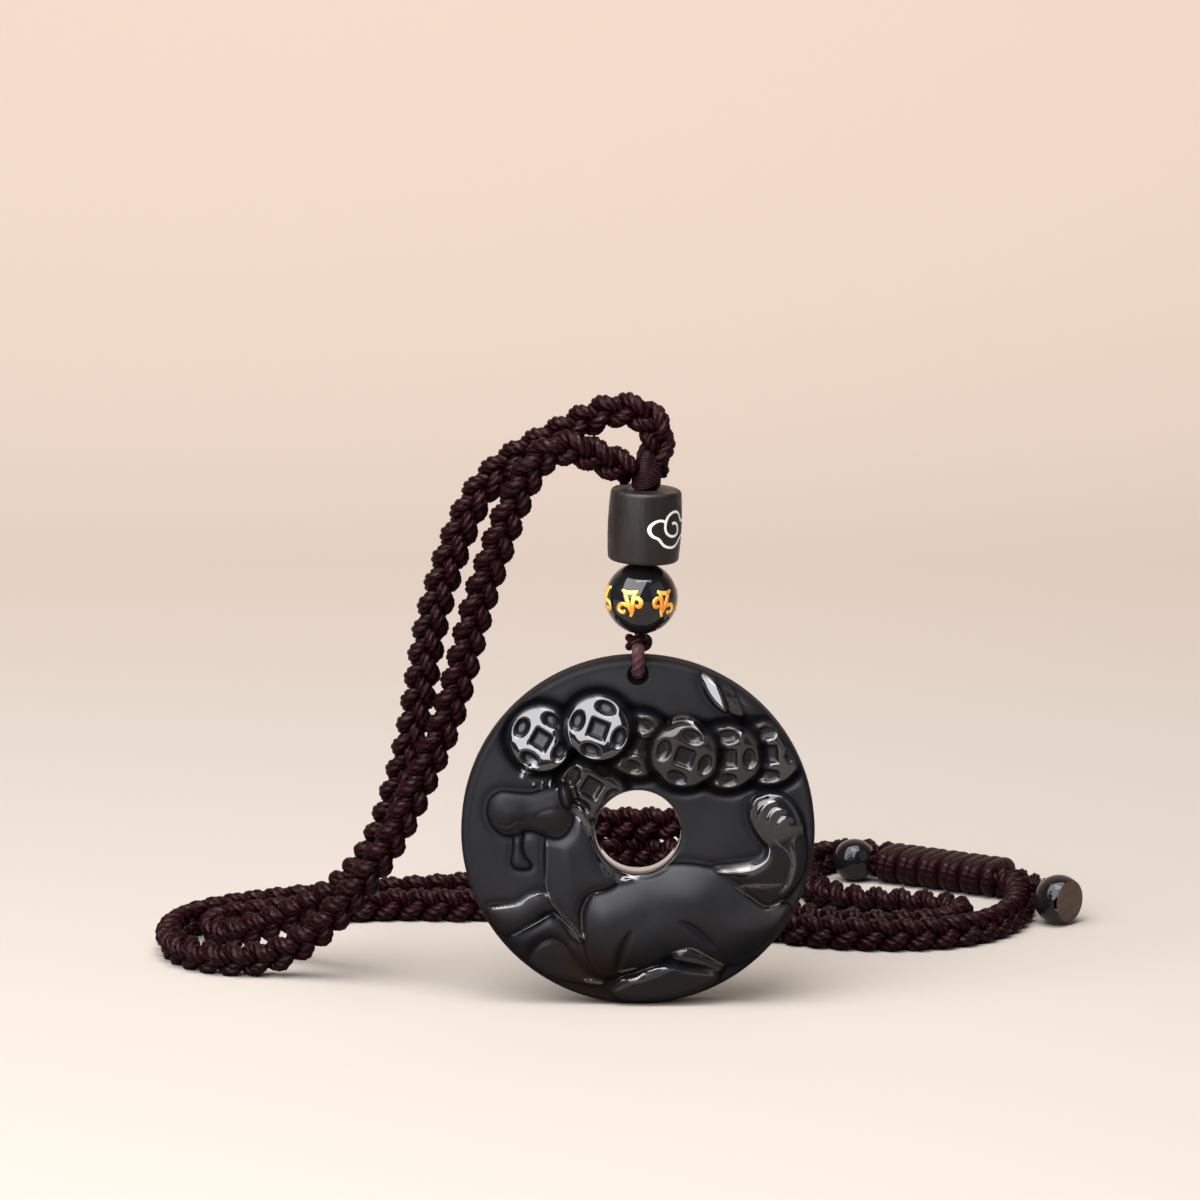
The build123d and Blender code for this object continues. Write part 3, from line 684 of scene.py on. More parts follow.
class PENDANT_OT_stage(Operator):
    """Camera at the photo's angle, pale floor and soft light"""
    bl_idname = "pendant.stage"
    bl_label = "Camera, floor and light"

    def execute(self, context):
        look = context.scene.pendant_stage
        camera_data = bpy.data.cameras.new("camera")
        camera_data.lens = lens
        camera_data.sensor_width = 36
        camera_data.clip_start = 0.01
        context.scene.camera = self.aim(context, "camera", camera_data, camera_at, camera_aim)
        self.floor(look)
        self.lights(context, look)
        return {"FINISHED"}

    def aim(self, context, name, data, place, target):
        """Sets a camera or light in its place and turns it to its target."""
        holder = bpy.data.objects.new(name, data)
        holder.location = place
        holder.rotation_euler = (target - place).to_track_quat("-Z", "Y").to_euler()
        context.scene.collection.objects.link(holder)
        return holder

    def floor(self, look):
        """A pale floor that curves up into a backdrop, which is clear when seen from behind."""
        build = Build()
        start, bend, top = 350.0, 380.0, 1800.0
        arc = [(start + bend * math.sin(a), table_z + bend * (1 - math.cos(a)))
               for a in np.linspace(0, math.pi / 2, 25)]
        profile = [(-1600.0, table_z), (-200.0, table_z)] + arc + [(start + bend, top)]
        across = np.linspace(-2400, 2400, 9)
        build.grid(np.array([[(x, y, z) for x in across] for y, z in profile]), wrap_columns=False)
        shader = Finish("floor")
        distance = shader.node("ShaderNodeSeparateXYZ", {"Vector": shader.place()})["Y"]
        base = shader.mix(shader.ramp(distance, 0.05, 0.75), look.floor, look.backdrop)
        base = shader.mix(shader.times(shader.noise(2.5, 2.0), 0.05), base, look.backdrop)
        behind = shader.node("ShaderNodeNewGeometry")["Backfacing"]
        paint = shader.done(base_color=base, roughness=0.9, specular_ior_level=0.0,
                            alpha=shader.math("SUBTRACT", 1.0, behind))
        floor = build.piece("floor", paint)

    def lights(self, context, look):
        """A large softbox at the upper left, a weak fill and a wash over the backdrop."""
        warm = (1.0, 0.95, 0.9)
        for name, place, aim, size, power, colour in (
            ("key", camera_aim + Vector((-0.39, -0.57, 0.72)) * 0.60, camera_aim, 0.74, look.key,
             (0.98, 0.98, 1.0)),
            ("fill", camera_aim + Vector((0.65, -0.35, 0.30)), camera_aim, 0.70, look.fill, warm),
            ("wash", Vector((0.1, -0.15, 1.25)), Vector((0.0, 0.62, 0.05)), 0.9, look.wash,
             (1.0, 0.95, 0.91)),
        ):
            light_data = bpy.data.lights.new(name, "AREA")
            light_data.size = size
            if name == "key":
                light_data.shape = "RECTANGLE"
                light_data.size_y = 1.0
            light_data.energy = power
            light_data.color = colour
            self.aim(context, name, light_data, place, aim)
        world = bpy.data.worlds.new("world")
        world.use_nodes = True
        sky = world.node_tree.nodes["Background"].inputs
        sky["Color"].default_value = (*warm, 1)
        sky["Strength"].default_value = 0.08
        context.scene.world = world
        context.scene.view_settings.view_transform = "Standard"


class PENDANT_OT_cords(Operator):
    """The two plaited cords, from the binding round to the sliding knot"""
    bl_idname = "pendant.cords"
    bl_label = "Plaited cords"

    def execute(self, context):
        yarn = yarn_materials()[0]
        ends = [bpy.data.objects[name] for name in ("knotted_sleeve", "tail_left", "tail_right")]
        ends += [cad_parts[name] for name in ("end_bead_1", "end_bead_2")]
        for name, node, route, phase, far_end, with_pieces in (
            ("plait_a", "cord_a", cord_a_route, 0.0, "knot", ends),
            ("plait_b", "cord_b", cord_b_route, 1 / 6, "object", []),
        ):
            line = even_steps(route_line(name, route), 0.36)
            build = Build()
            plait(build, line, phase=phase)
            piece = build.piece(name, yarn, node)
        return {"FINISHED"}


# Disc relief

DISC_R = 25.0
DISC_T = 5.0
RIM_ROUND = 1.1
BORE_R = 6.05
BORE_CHAMFER = 0.3
HOLE_R = 1.00
HOLE_FLARE_R = 1.60
HOLE_FLARE = 0.9
COIN = 0.184
COIN_SQUARE = 1.32
COIN_RING = 3.1
COIN_PIT = (0.98, 1.55)
COIN_FALL = 0.30
COIN_PIT_DEPTH = 0.85
COIN_DITCH = 0.75
COIN_DITCH_WIDTH = 0.62


class Relief:
    """Heights, polish, dullness (rougher, and darkened as painted shade) and tint over the disc's face, at
    points in mm from its centre.
    """

    def __init__(self, across, up):
        self.across = across
        self.up = up
        self.height = np.zeros(across.shape)
        self.polish = np.zeros(across.shape)
        self.dull = np.zeros(across.shape)
        self.tint = np.zeros(across.shape)

    def near(self, line, margin):
        """Which points lie in the line's box with a margin."""
        low = line.min(axis=0) - margin
        high = line.max(axis=0) + margin
        return ((self.across > low[0]) & (self.across < high[0])
                & (self.up > low[1]) & (self.up < high[1]))

    def distance(self, line, chosen, closed=False):
        """Distance to a line at the chosen points, how far along it is, and which are inside."""
        x = self.across[chosen]
        y = self.up[chosen]
        nearest = np.full(x.shape, 1e9)
        place = np.zeros(x.shape)
        inside = np.zeros(x.shape, bool)
        ends = np.roll(line, -1, axis=0) if closed else line[1:]
        starts = line if closed else line[:-1]
        for number, (start, end) in enumerate(zip(starts, ends)):
            run = end - start
            size = max(np.dot(run, run), 1e-12)
            share = np.clip(((x - start[0]) * run[0] + (y - start[1]) * run[1]) / size, 0, 1)
            away = np.hypot(x - start[0] - share * run[0], y - start[1] - share * run[1])
            closer = away < nearest
            nearest = np.where(closer, away, nearest)
            place = np.where(closer, (number + share) / len(starts), place)
            if closed and start[1] != end[1]:
                crosses = (start[1] > y) != (end[1] > y)
                inside ^= crosses & (x < start[0] + (y - start[1]) * run[0] / run[1])
        return nearest, place, inside

    def blend(self, share, chosen=..., **values):
        """Takes polish, dullness or tint towards new values."""
        for name, value in values.items():
            here = getattr(self, name)
            here[chosen] = mix(here[chosen], value, share)

    def form(self, outline, level, crown, width, edge, polish, tint, moat, lean):
        """A raised pillow: level at its edge, crown more at its middle, a moat round it."""
        line = smooth_line(np.array(outline) / 1000 * DISC_R, 6, closed=True)
        middle = line.mean(axis=0)
        chosen = self.near(line, 2.5)
        away, place, inside = self.distance(line, chosen, closed=True)
        depth = np.where(inside, away, -away)
        wall = smoothstep(depth, -edge / 2, edge / 2)
        top = level + crown * (1 - (1 - np.clip(depth / width, 0, 1)) ** 2)
        top = top + lean[0] * (self.across[chosen] - middle[0]) + lean[1] * (self.up[chosen] - middle[1])
        ditch = moat * np.exp(-((depth + edge * 0.8) / 0.45) ** 2)
        here = self.height[chosen]
        self.height[chosen] = here * (1 - wall) + np.maximum(top, here * 0.2 + top * 0.8) * wall - ditch
        self.blend(wall, chosen, polish=polish, dull=0.0, tint=tint)
        shadow = np.exp(-((depth + edge * 0.35) / 0.30) ** 2) * (moat > 0)
        self.dull[chosen] = np.maximum(self.dull[chosen], shadow)

    def stroke(self, points, height, width, polish):
        """A ridge, or a groove if height is negative, that thins towards both ends."""
        line = smooth_line(np.array(points) / 1000 * DISC_R, 6)
        chosen = self.near(line, 3 * width + 0.5)
        away, place, inside = self.distance(line, chosen)
        thin = np.sqrt(np.clip(4 * place * (1 - place), 0, 1))
        profile = np.exp(-(away / (width * np.maximum(thin, 0.15))) ** 2) * thin
        self.height[chosen] += height * profile
        if polish is not None:
            self.blend(np.clip(profile * 1.6, 0, 1), chosen, polish=polish, dull=0.0)

    def turned(self, across, up, turn):
        """Places from a point of the disc, along two axes turned by an angle."""
        x = self.across - across * DISC_R
        y = self.up - up * DISC_R
        c, s = math.cos(math.radians(turn)), math.sin(math.radians(turn))
        return x, y, x * c + y * s, y * c - x * s

    def oval(self, across, up, long, short, turn):
        """How much each point belongs to a soft oval."""
        x, y, a, b = self.turned(across, up, turn)
        return np.exp(-np.hypot(a / (long * DISC_R), b / (short * DISC_R)) ** 2 * 1.4)

    def coin(self, across, up, turn, level, lean_x, lean_y, tint):
        """A coin with a square hole and four oval pits; its face leans and falls off at its rim."""
        x, y, a, b = self.turned(across, up, turn)
        radius = COIN * DISC_R
        away = np.hypot(x, y)
        wall = 1 - smoothstep(away, radius - 0.20, radius + 0.20)
        face = level + lean_x * x + lean_y * y - COIN_FALL * smoothstep(away, radius - 1.3, radius + 0.2)
        face = face - 0.012 * away ** 2
        ditch = COIN_DITCH * np.exp(-((away - radius - COIN_DITCH_WIDTH) / COIN_DITCH_WIDTH) ** 2)
        square = np.maximum(np.abs(a), np.abs(b)) / COIN_SQUARE
        pit = 1 - smoothstep(square, 0.78, 1.12)
        floor = 1 - smoothstep(square, 0.50, 0.78)
        for angle in (quarter * math.pi / 2 for quarter in range(4)):
            p = a * math.cos(angle) + b * math.sin(angle) - COIN_RING
            q = b * math.cos(angle) - a * math.sin(angle)
            oval = np.hypot(p / COIN_PIT[0], q / COIN_PIT[1])
            pit = np.maximum(pit, 1 - smoothstep(oval, 0.62, 1.12))
            floor = np.maximum(floor, 1 - smoothstep(oval, 0.30, 0.62))
        self.height = self.height * (1 - wall) + (face - COIN_PIT_DEPTH * pit) * wall - ditch * (1 - wall)
        # A dark, dull ring in the ditch round the coin: painted shade in the recess.
        around = np.exp(-((away - radius - 0.55) / 0.75) ** 4) * (away > radius - 0.1)
        shine = 1 - 0.6 * tint
        self.blend(wall, polish=shine)
        self.blend(around, polish=0.0, dull=1.0)
        self.blend(wall, dull=0.0)
        # Rough, dark pit walls and coin edge: painted shade in the pits.
        rough_shaded_pit = np.maximum(pit, smoothstep(away, radius - 0.45, radius - 0.1)) * wall * shine
        self.blend(rough_shaded_pit, polish=0.0, dull=1.0)
        self.blend(floor * wall, polish=0.10, dull=0.0)
        self.blend(wall, tint=tint)

    def soften(self, reach):
        """Smooths the sanded parts of the relief, which lies on rings of points."""
        radius = np.hypot(self.across, self.up)
        waves = np.fft.rfft(self.height, axis=1)
        order = np.arange(waves.shape[1])[None, :]
        fade = np.exp(-0.5 * (order * reach / radius[:, :1]) ** 2)
        smooth = np.fft.irfft(waves * fade, n=self.height.shape[1], axis=1)
        step = radius[1, 0] - radius[0, 0]
        most = 6
        offsets = np.arange(-most, most + 1)
        weights = np.exp(-0.5 * (offsets * step / reach) ** 2)
        padded = np.pad(smooth, ((most, most), (0, 0)), mode="edge")
        rows = len(smooth)
        smooth = sum(weight * padded[most + k:most + k + rows] for k, weight in zip(offsets, weights))
        self.height = mix(smooth / weights.sum(), self.height, smoothstep(self.polish, 0.2, 0.8))


def carve(relief):
    """Carves the whole face: coins above, the horse below, its tail and a ribbon at the right."""
    relief.height -= 0.25 * smoothstep(np.hypot(relief.across, relief.up), DISC_R * 0.80, DISC_R)
    for row in ribbon_forms:
        relief.form(*row)
    for row in coins:
        relief.coin(*row)
    for row in horse_forms:
        relief.form(*row)
    for *oval, height in swellings:
        relief.height += height * relief.oval(*oval)
    relief.soften(0.27)
    for row in strokes:
        relief.stroke(*row)
    for *oval, tint in tints:
        relief.blend(relief.oval(*oval), tint=tint)


# Coins, the lowest first: across, up, turn, height, slope to the right and slope up, brown tint
coins = [
    (-0.262, 0.264, -30, 0.70, 0.00, -0.02, 0.7),
    (0.736, 0.456, 4, 0.80, -0.02, 0.00, 0.3),
    (0.004, 0.504, -18, 0.95, 0.02, -0.02, 0.9),
    (0.504, 0.436, 0, 1.15, 0.00, -0.03, 0.8),
    (-0.548, 0.544, -30, 1.40, 0.15, -0.25, 0.0),
    (0.262, 0.446, -20, 1.35, 0.03, -0.05, 0.9),
    (-0.224, 0.608, -20, 1.60, 0.14, -0.24, 0.1),
]

# Outlines, across and up in thousandths of the disc's radius
RIBBON_LEAF = [
    (360, 930), (420, 905), (455, 850), (485, 780), (500, 705), (440, 735), (390, 795), (362, 860),
]
RIBBON_FOLD = [
    (430, 915), (500, 890), (545, 800), (580, 720), (600, 655), (545, 670), (490, 730), (450, 820),
]
RIBBON_BACK = [
    (525, 865), (615, 800), (690, 725), (740, 650), (660, 640), (590, 675), (550, 760),
]
RIBBON_END = [
    (620, 665), (730, 655), (820, 600), (880, 525), (840, 510), (740, 570), (640, 595),
]
TAIL_CURL = [
    (635, 70), (625, 140), (655, 205), (720, 235), (815, 220), (885, 160), (930, 60), (930, -40),
    (840, -70), (750, -90), (700, -45), (660, 10),
]
TAIL_LOW = [
    (420, -205), (540, -180), (645, -165), (715, -140), (735, -85), (790, -60), (860, -30), (940, -10),
    (940, -200), (860, -345), (755, -425), (655, -380), (560, -300),
]
LEG_DARK = [
    (-625, -730), (-590, -670), (-540, -620), (-470, -610), (-410, -650), (-340, -750), (-260, -830),
    (-180, -860), (-230, -880), (-360, -862), (-490, -828), (-570, -780),
]
ROCK = [
    (-150, -905), (-90, -855), (10, -830), (80, -785), (190, -765), (270, -785), (370, -795), (460, -810),
    (440, -865), (330, -930), (190, -970), (50, -980), (-80, -965), (-140, -935),
]
HOOF = [
    (195, -720), (250, -685), (330, -700), (430, -740), (485, -790), (440, -800), (360, -775), (270, -755),
    (210, -745),
]
TONGUE = [
    (-160, -210), (-120, -212), (-90, -250), (-40, -245), (20, -235), (0, -270), (-60, -295), (-120, -290),
    (-160, -260),
]
LEG_LOW = [
    (-735, -605), (-650, -570), (-570, -530), (-500, -498), (-430, -525), (-360, -615), (-300, -670),
    (-230, -770), (-165, -835), (-230, -835), (-320, -770), (-400, -645), (-470, -598), (-540, -610),
    (-600, -665), (-630, -725), (-690, -670),
]
LEG_HIGH = [
    (-845, -445), (-755, -428), (-680, -418), (-610, -370), (-550, -352), (-495, -378), (-430, -470),
    (-350, -570), (-300, -620), (-360, -612), (-430, -515), (-500, -452), (-590, -510), (-660, -560),
    (-740, -590), (-800, -545),
]
CHIN = [
    (-700, 20), (-700, -88), (-710, -165), (-690, -202), (-620, -204), (-612, -180), (-640, -145),
    (-660, -80), (-655, 20),
]
NECK = [
    (-510, -30), (-430, 15), (-375, 90), (-320, 115), (-250, 20), (-200, -100), (-170, -200), (-125, -290),
    (-180, -340), (-280, -372), (-315, -445), (-325, -530), (-330, -570), (-390, -512), (-450, -446),
    (-500, -370), (-515, -270),
]
MANE = [
    (-390, 160), (-335, 165), (-280, 90), (-230, 0), (-190, -100), (-160, -190), (-150, -240), (-190, -230),
    (-235, -140), (-275, -30), (-325, 60),
]
HEAD = [
    (-838, 130), (-822, 190), (-770, 225), (-680, 218), (-600, 216), (-530, 240), (-460, 272), (-408, 270),
    (-380, 215), (-370, 130), (-392, 40), (-448, -15), (-530, -5), (-600, 22), (-670, 10), (-732, -8),
    (-790, 20), (-826, 70),
]
EAR = [
    (-432, 280), (-402, 262), (-380, 210), (-386, 155), (-418, 168), (-438, 222),
]
BODY = [
    (-302, -615), (-322, -530), (-308, -430), (-255, -362), (-163, -330), (-65, -288), (50, -232),
    (172, -195), (300, -192), (442, -222), (555, -287), (655, -372), (755, -432), (850, -430), (850, -545),
    (752, -660), (610, -733), (470, -760), (330, -702), (203, -702), (76, -773), (-50, -790), (-121, -830),
    (-206, -820), (-268, -730),
]

# Forms: outline, level, crown, width, edge, polish, tint, moat, slopes to the right and up
ribbon_forms = [
    (RIBBON_BACK, 0.30, 0.30, 1.2, 0.35, 0.10, 0.35, 0.25, (0.05, 0.00)),
    (RIBBON_END, 0.35, 0.30, 0.9, 0.35, 0.10, 0.50, 0.25, (0.00, 0.00)),
    (RIBBON_FOLD, 0.20, 0.10, 0.9, 0.35, 0.50, 0.10, 0.25, (-0.20, 0.05)),
    (RIBBON_LEAF, 0.75, 0.10, 0.7, 0.35, 1.00, 0.00, 0.25, (0.30, -0.22)),
]
horse_forms = [
    (TAIL_CURL, 0.45, 0.60, 2.2, 0.5, 0.55, 0.40, 0.25, (0.05, -0.06)),
    (TAIL_LOW, 0.55, 0.30, 2.6, 0.5, 0.05, 0.80, 0.20, (0.00, 0.00)),
    (LEG_DARK, 0.20, 0.15, 1.6, 0.5, 0.05, 0.80, 0.15, (0.00, -0.02)),
    (ROCK, 1.00, 0.20, 1.4, 0.6, 0.05, 0.85, 0.30, (0.00, -0.02)),
    (HOOF, 0.60, 0.35, 0.8, 0.4, 0.30, 0.30, 0.25, (0.00, -0.10)),
    (TONGUE, 0.35, 0.30, 0.9, 0.4, 1.0, 0.00, 0.25, (0.10, -0.10)),
    (LEG_LOW, 0.25, 0.65, 2.2, 0.7, 0.0, 0.25, 0.15, (0.00, -0.02)),
    (LEG_HIGH, 0.45, 0.42, 2.2, 0.6, 0.0, 0.35, 0.30, (0.00, -0.01)),
    (CHIN, 0.30, 0.25, 0.8, 0.4, 0.0, 0.00, 0.22, (0.00, 0.00)),
    (NECK, 0.30, 0.95, 3.2, 0.8, 0.0, 0.00, 0.20, (0.05, 0.00)),
    (MANE, 0.45, 0.10, 0.8, 0.5, 1.0, 0.00, 0.00, (0.00, 0.00)),
    (HEAD, 0.45, 0.95, 4.6, 0.9, 0.0, 0.35, 0.35, (0.00, 0.02)),
    (EAR, 1.95, 0.45, 0.6, 0.4, 0.0, 0.00, 0.15, (0.10, -0.05)),
    (BODY, 0.30, 1.60, 5.2, 1.0, 0.0, 0.00, 0.30, (0.00, -0.02)),
]
# Swellings and hollows: across, up, long and short half axes, turn, height
swellings = [
    (-0.745, 0.115, 0.085, 0.085, 0, 0.18),
    (-0.480, 0.085, 0.110, 0.095, 0, 0.22),
    (-0.615, 0.085, 0.050, 0.110, 15, -0.30),
    (-0.205, -0.500, 0.130, 0.170, 0, 0.45),
    (0.335, -0.370, 0.190, 0.150, -15, 0.55),
    (0.065, -0.420, 0.100, 0.130, 0, -0.20),
    (-0.395, -0.170, 0.060, 0.220, 8, 0.25),
    (0.600, -0.560, 0.150, 0.100, -30, 0.25),
    (0.060, 0.640, 0.600, 0.300, 0, 0.40),
    (0.500, -0.100, 0.250, 0.160, 0, 0.25),
]
# Strokes over the forms: points as in the outlines, height, width in mm, polish or None
strokes = [
    ([(-515, -10), (-513, -180), (-520, -300), (-500, -370), (-445, -455), (-390, -515), (-335, -575),
      (-310, -620)], 0.42, 0.17, 0.75),
    ([(-240, -335), (-290, -390), (-318, -470), (-312, -560), (-300, -610)], -0.60, 0.40, 0.7),
    ([(-300, -400), (-250, -355), (-190, -335)], 0.18, 0.14, 0.6),
    ([(-36, -550), (-78, -640), (-100, -720), (-118, -800)], -0.80, 0.60, None),
    ([(225, -495), (300, -530), (370, -590), (445, -665)], -0.70, 0.55, None),
    ([(180, -690), (300, -665), (400, -715), (490, -770)], -0.45, 0.40, 1.0),
    ([(-720, -595), (-640, -560), (-570, -525), (-500, -480)], -0.45, 0.26, 0.8),
    ([(-850, -440), (-755, -430), (-680, -415), (-610, -368), (-545, -352), (-505, -372)], 0.30, 0.17, 0.7),
    ([(-500, -440), (-430, -500), (-360, -590), (-315, -640)], -0.35, 0.30, 0.9),
    ([(-800, 60), (-740, 45), (-690, 75), (-640, 70)], -0.25, 0.16, None),
    ([(-790, 20), (-740, 5), (-690, 30)], -0.20, 0.15, None),
    ([(-600, 60), (-560, 120), (-480, 145), (-420, 120)], -0.12, 0.30, None),
    ([(-600, 262), (-575, 285)], 0.30, 0.20, 1.0),
    ([(-550, 250), (-530, 300)], 0.32, 0.18, 1.0),
    ([(-500, 262), (-485, 310)], 0.32, 0.18, 1.0),
    ([(-465, 250), (-450, 290)], 0.30, 0.16, 1.0),
    ([(640, 65), (640, 130), (670, 195), (740, 215)], 0.40, 0.22, 1.0),
    ([(672, 50), (690, 120), (730, 170), (790, 180)], 0.45, 0.30, 1.0),
    ([(730, 45), (745, 95), (780, 135), (840, 130)], 0.42, 0.27, 1.0),
    ([(785, 25), (800, 65), (830, 90), (875, 80)], 0.36, 0.22, 1.0),
    ([(760, -10), (800, -70), (850, -120), (880, -190)], -0.18, 0.20, 1.0),
    ([(745, -70), (730, -150), (660, -205), (570, -222), (440, -225)], 0.62, 0.62, 1.0),
    ([(560, -310), (650, -300), (740, -300), (820, -290)], -0.16, 0.22, 1.0),
    ([(530, -300), (640, -375), (720, -425), (790, -405), (840, -365)], -0.45, 0.28, 1.0),
    ([(900, 0), (872, -60), (880, -180), (850, -290), (800, -350)], 0.35, 0.26, 1.0),
    ([(-130, -875), (-85, -845), (-20, -835), (50, -800), (120, -780), (180, -775)], 0.45, 0.24, 1.0),
    ([(-110, -800), (-60, -795), (0, -780)], 0.30, 0.16, 1.0),
    ([(-310, -850), (-250, -862), (-190, -875)], 0.25, 0.25, 1.0),
    ([(595, 600), (580, 570), (585, 530)], 0.35, 0.20, 1.0),
    ([(500, 800), (520, 760), (545, 730)], 0.22, 0.18, 1.0),
    ([(165, 600), (205, 650), (270, 660), (340, 610), (385, 520)], 0.30, 0.34, 1.0),
    ([(-570, 430), (-620, 370), (-660, 300)], 0.38, 0.50, 1.0),
]
# Brown patches: across, up, long and short half axes, turn, strength
tints = [
    (0.760, -0.280, 0.25, 0.16, -20, 0.8),
    (0.640, -0.640, 0.25, 0.10, -30, 0.7),
    (0.300, 0.330, 0.30, 0.10, 0, 0.9),
    (0.020, 0.400, 0.18, 0.10, 0, 0.8),
    (-0.420, -0.720, 0.18, 0.10, -30, 0.7),
]


class PENDANT_OT_disc(Operator):
    """The stone disc, carved on its face, with its bore and thread hole"""
    bl_idname = "pendant.disc"
    bl_label = "Carved disc"

    def execute(self, context):
        look = context.scene.pendant_stone
        flat_end = DISC_R - RIM_ROUND
        front = [(r, 0.0) for r in np.linspace(BORE_R + BORE_CHAMFER, flat_end, look.rings)]
        rim = [(flat_end + RIM_ROUND * math.sin(a), -RIM_ROUND * (1 - math.cos(a)))
               for a in np.linspace(0, math.pi / 2, 8)[1:]]
        back_rim = [(r, -DISC_T - depth) for r, depth in rim[::-1]]
        back = [(r, -DISC_T) for r in np.linspace(flat_end, BORE_R + BORE_CHAMFER, 5)]
        bore = [(BORE_R, -DISC_T + BORE_CHAMFER), (BORE_R, -DISC_T / 2), (BORE_R, -BORE_CHAMFER)]
        profile = np.array(front + rim + back_rim + back + bore)
        turn = turn_of(look.spokes)
        across = profile[:, :1] * np.sin(turn)[None, :]
        up = profile[:, :1] * np.cos(turn)[None, :]
        depth = np.repeat(profile[:, 1:], look.spokes, axis=1)
        carved = slice(0, len(front) + 4)
        relief = Relief(across[carved], up[carved])
        carve(relief)
        radius = np.hypot(relief.across, relief.up)
        keep = 1 - smoothstep(radius, DISC_R - 1.3, DISC_R - 0.15)
        keep = keep * smoothstep(radius, BORE_R + 0.25, BORE_R + 0.9)
        depth[carved] += relief.height * keep
        polish, tint, dull = np.zeros((3, *across.shape))
        # Painted shade: the lower, downward-facing part of the disc is tinted browner, and wherever the
        # stone is tinted but not polished it is also dulled, which darkens it.
        low = 0.35 * (radius / DISC_R) ** 4 - relief.up / DISC_R
        polish[carved] = relief.polish
        tint[carved] = np.maximum(relief.tint, 0.9 * smoothstep(low, 0.42, 0.95))
        dull[carved] = np.maximum(relief.dull, 0.9 * (tint * (1 - polish) ** 2)[carved])
        # At the rim: frosted, with a thin brown edge, and dulled dark over the rim's highlight: painted
        # shade.
        rim_share = smoothstep(np.hypot(across, up), DISC_R - 1.0, DISC_R - 0.2)
        dull = np.maximum(dull, 0.6 * rim_share)
        polish *= 1 - rim_share
        tint = np.maximum(tint, 0.35 * rim_share)
        polish[-len(bore):] = 0.9
        points = np.stack([disc_centre[0] + across, disc_centre[1] - DISC_T / 2 - depth,
                           disc_centre[2] + up], -1)
        build = Build()
        build.grid(points, wrap_rows=True)
        disc = build.piece("carved_disc", material_stone(),
                           values={"polish": polish, "tint": tint, "dull": dull})
        cut_thread_hole(disc)
        attach(disc, "disc", "disc")
        return {"FINISHED"}


def cut_thread_hole(disc):
    """Cuts the flared thread hole through the disc."""
    face = DISC_T / 2
    reach = face + 2.0
    half = [(face - HOLE_FLARE, HOLE_R), (face + 0.02, HOLE_FLARE_R), (reach, HOLE_FLARE_R)]
    stations = [(-y, r) for y, r in half[::-1]] + half
    points = np.array([[(hole_centre[0] + r * math.sin(a), y, hole_centre[2] + r * math.cos(a))
                        for a in turn_of(40)] for y, r in stations])
    build = Build()
    build.closed_grid(points, (hole_centre[0], -reach, hole_centre[2]),
                      (hole_centre[0], reach, hole_centre[2]))
    # The cutter's dullness passes to the hole's walls, making them rough and dark: painted shade inside the
    # hole.
    cutter = build.piece("hole_cutter", disc.data.materials[0],
                         values={"dull": np.ones(build.count)})
    cut = disc.modifiers.new("hole", "BOOLEAN")
    cut.operation = "DIFFERENCE"
    cut.solver = "EXACT"
    cut.object = cutter
    mesh = evaluated_mesh(disc)
    disc.modifiers.clear()
    disc.data = mesh
    mesh.shade_smooth()
    bpy.data.objects.remove(cutter)


# Beads


def lathe(build, origin, axis, profile, sides, ring_of_rows=False):
    """A turned solid: rows of height and radius, closed at both ends or in a ring."""
    side = unit(np.cross(drop_back, axis))
    turn = turn_of(sides)
    ring = np.cos(turn)[:, None] * side + np.sin(turn)[:, None] * np.cross(axis, side)
    points = np.array([[origin + axis * h + r * spoke for spoke in ring] for h, r in profile])
    if ring_of_rows:
        build.grid(points, wrap_rows=True)
    else:
        build.closed_grid(points, origin + axis * profile[0][0], origin + axis * profile[-1][0])


def dress(node, material):
    """Gives a CAD node its material."""
    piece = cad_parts[node]
    piece.data.materials.clear()
    piece.data.materials.append(material)


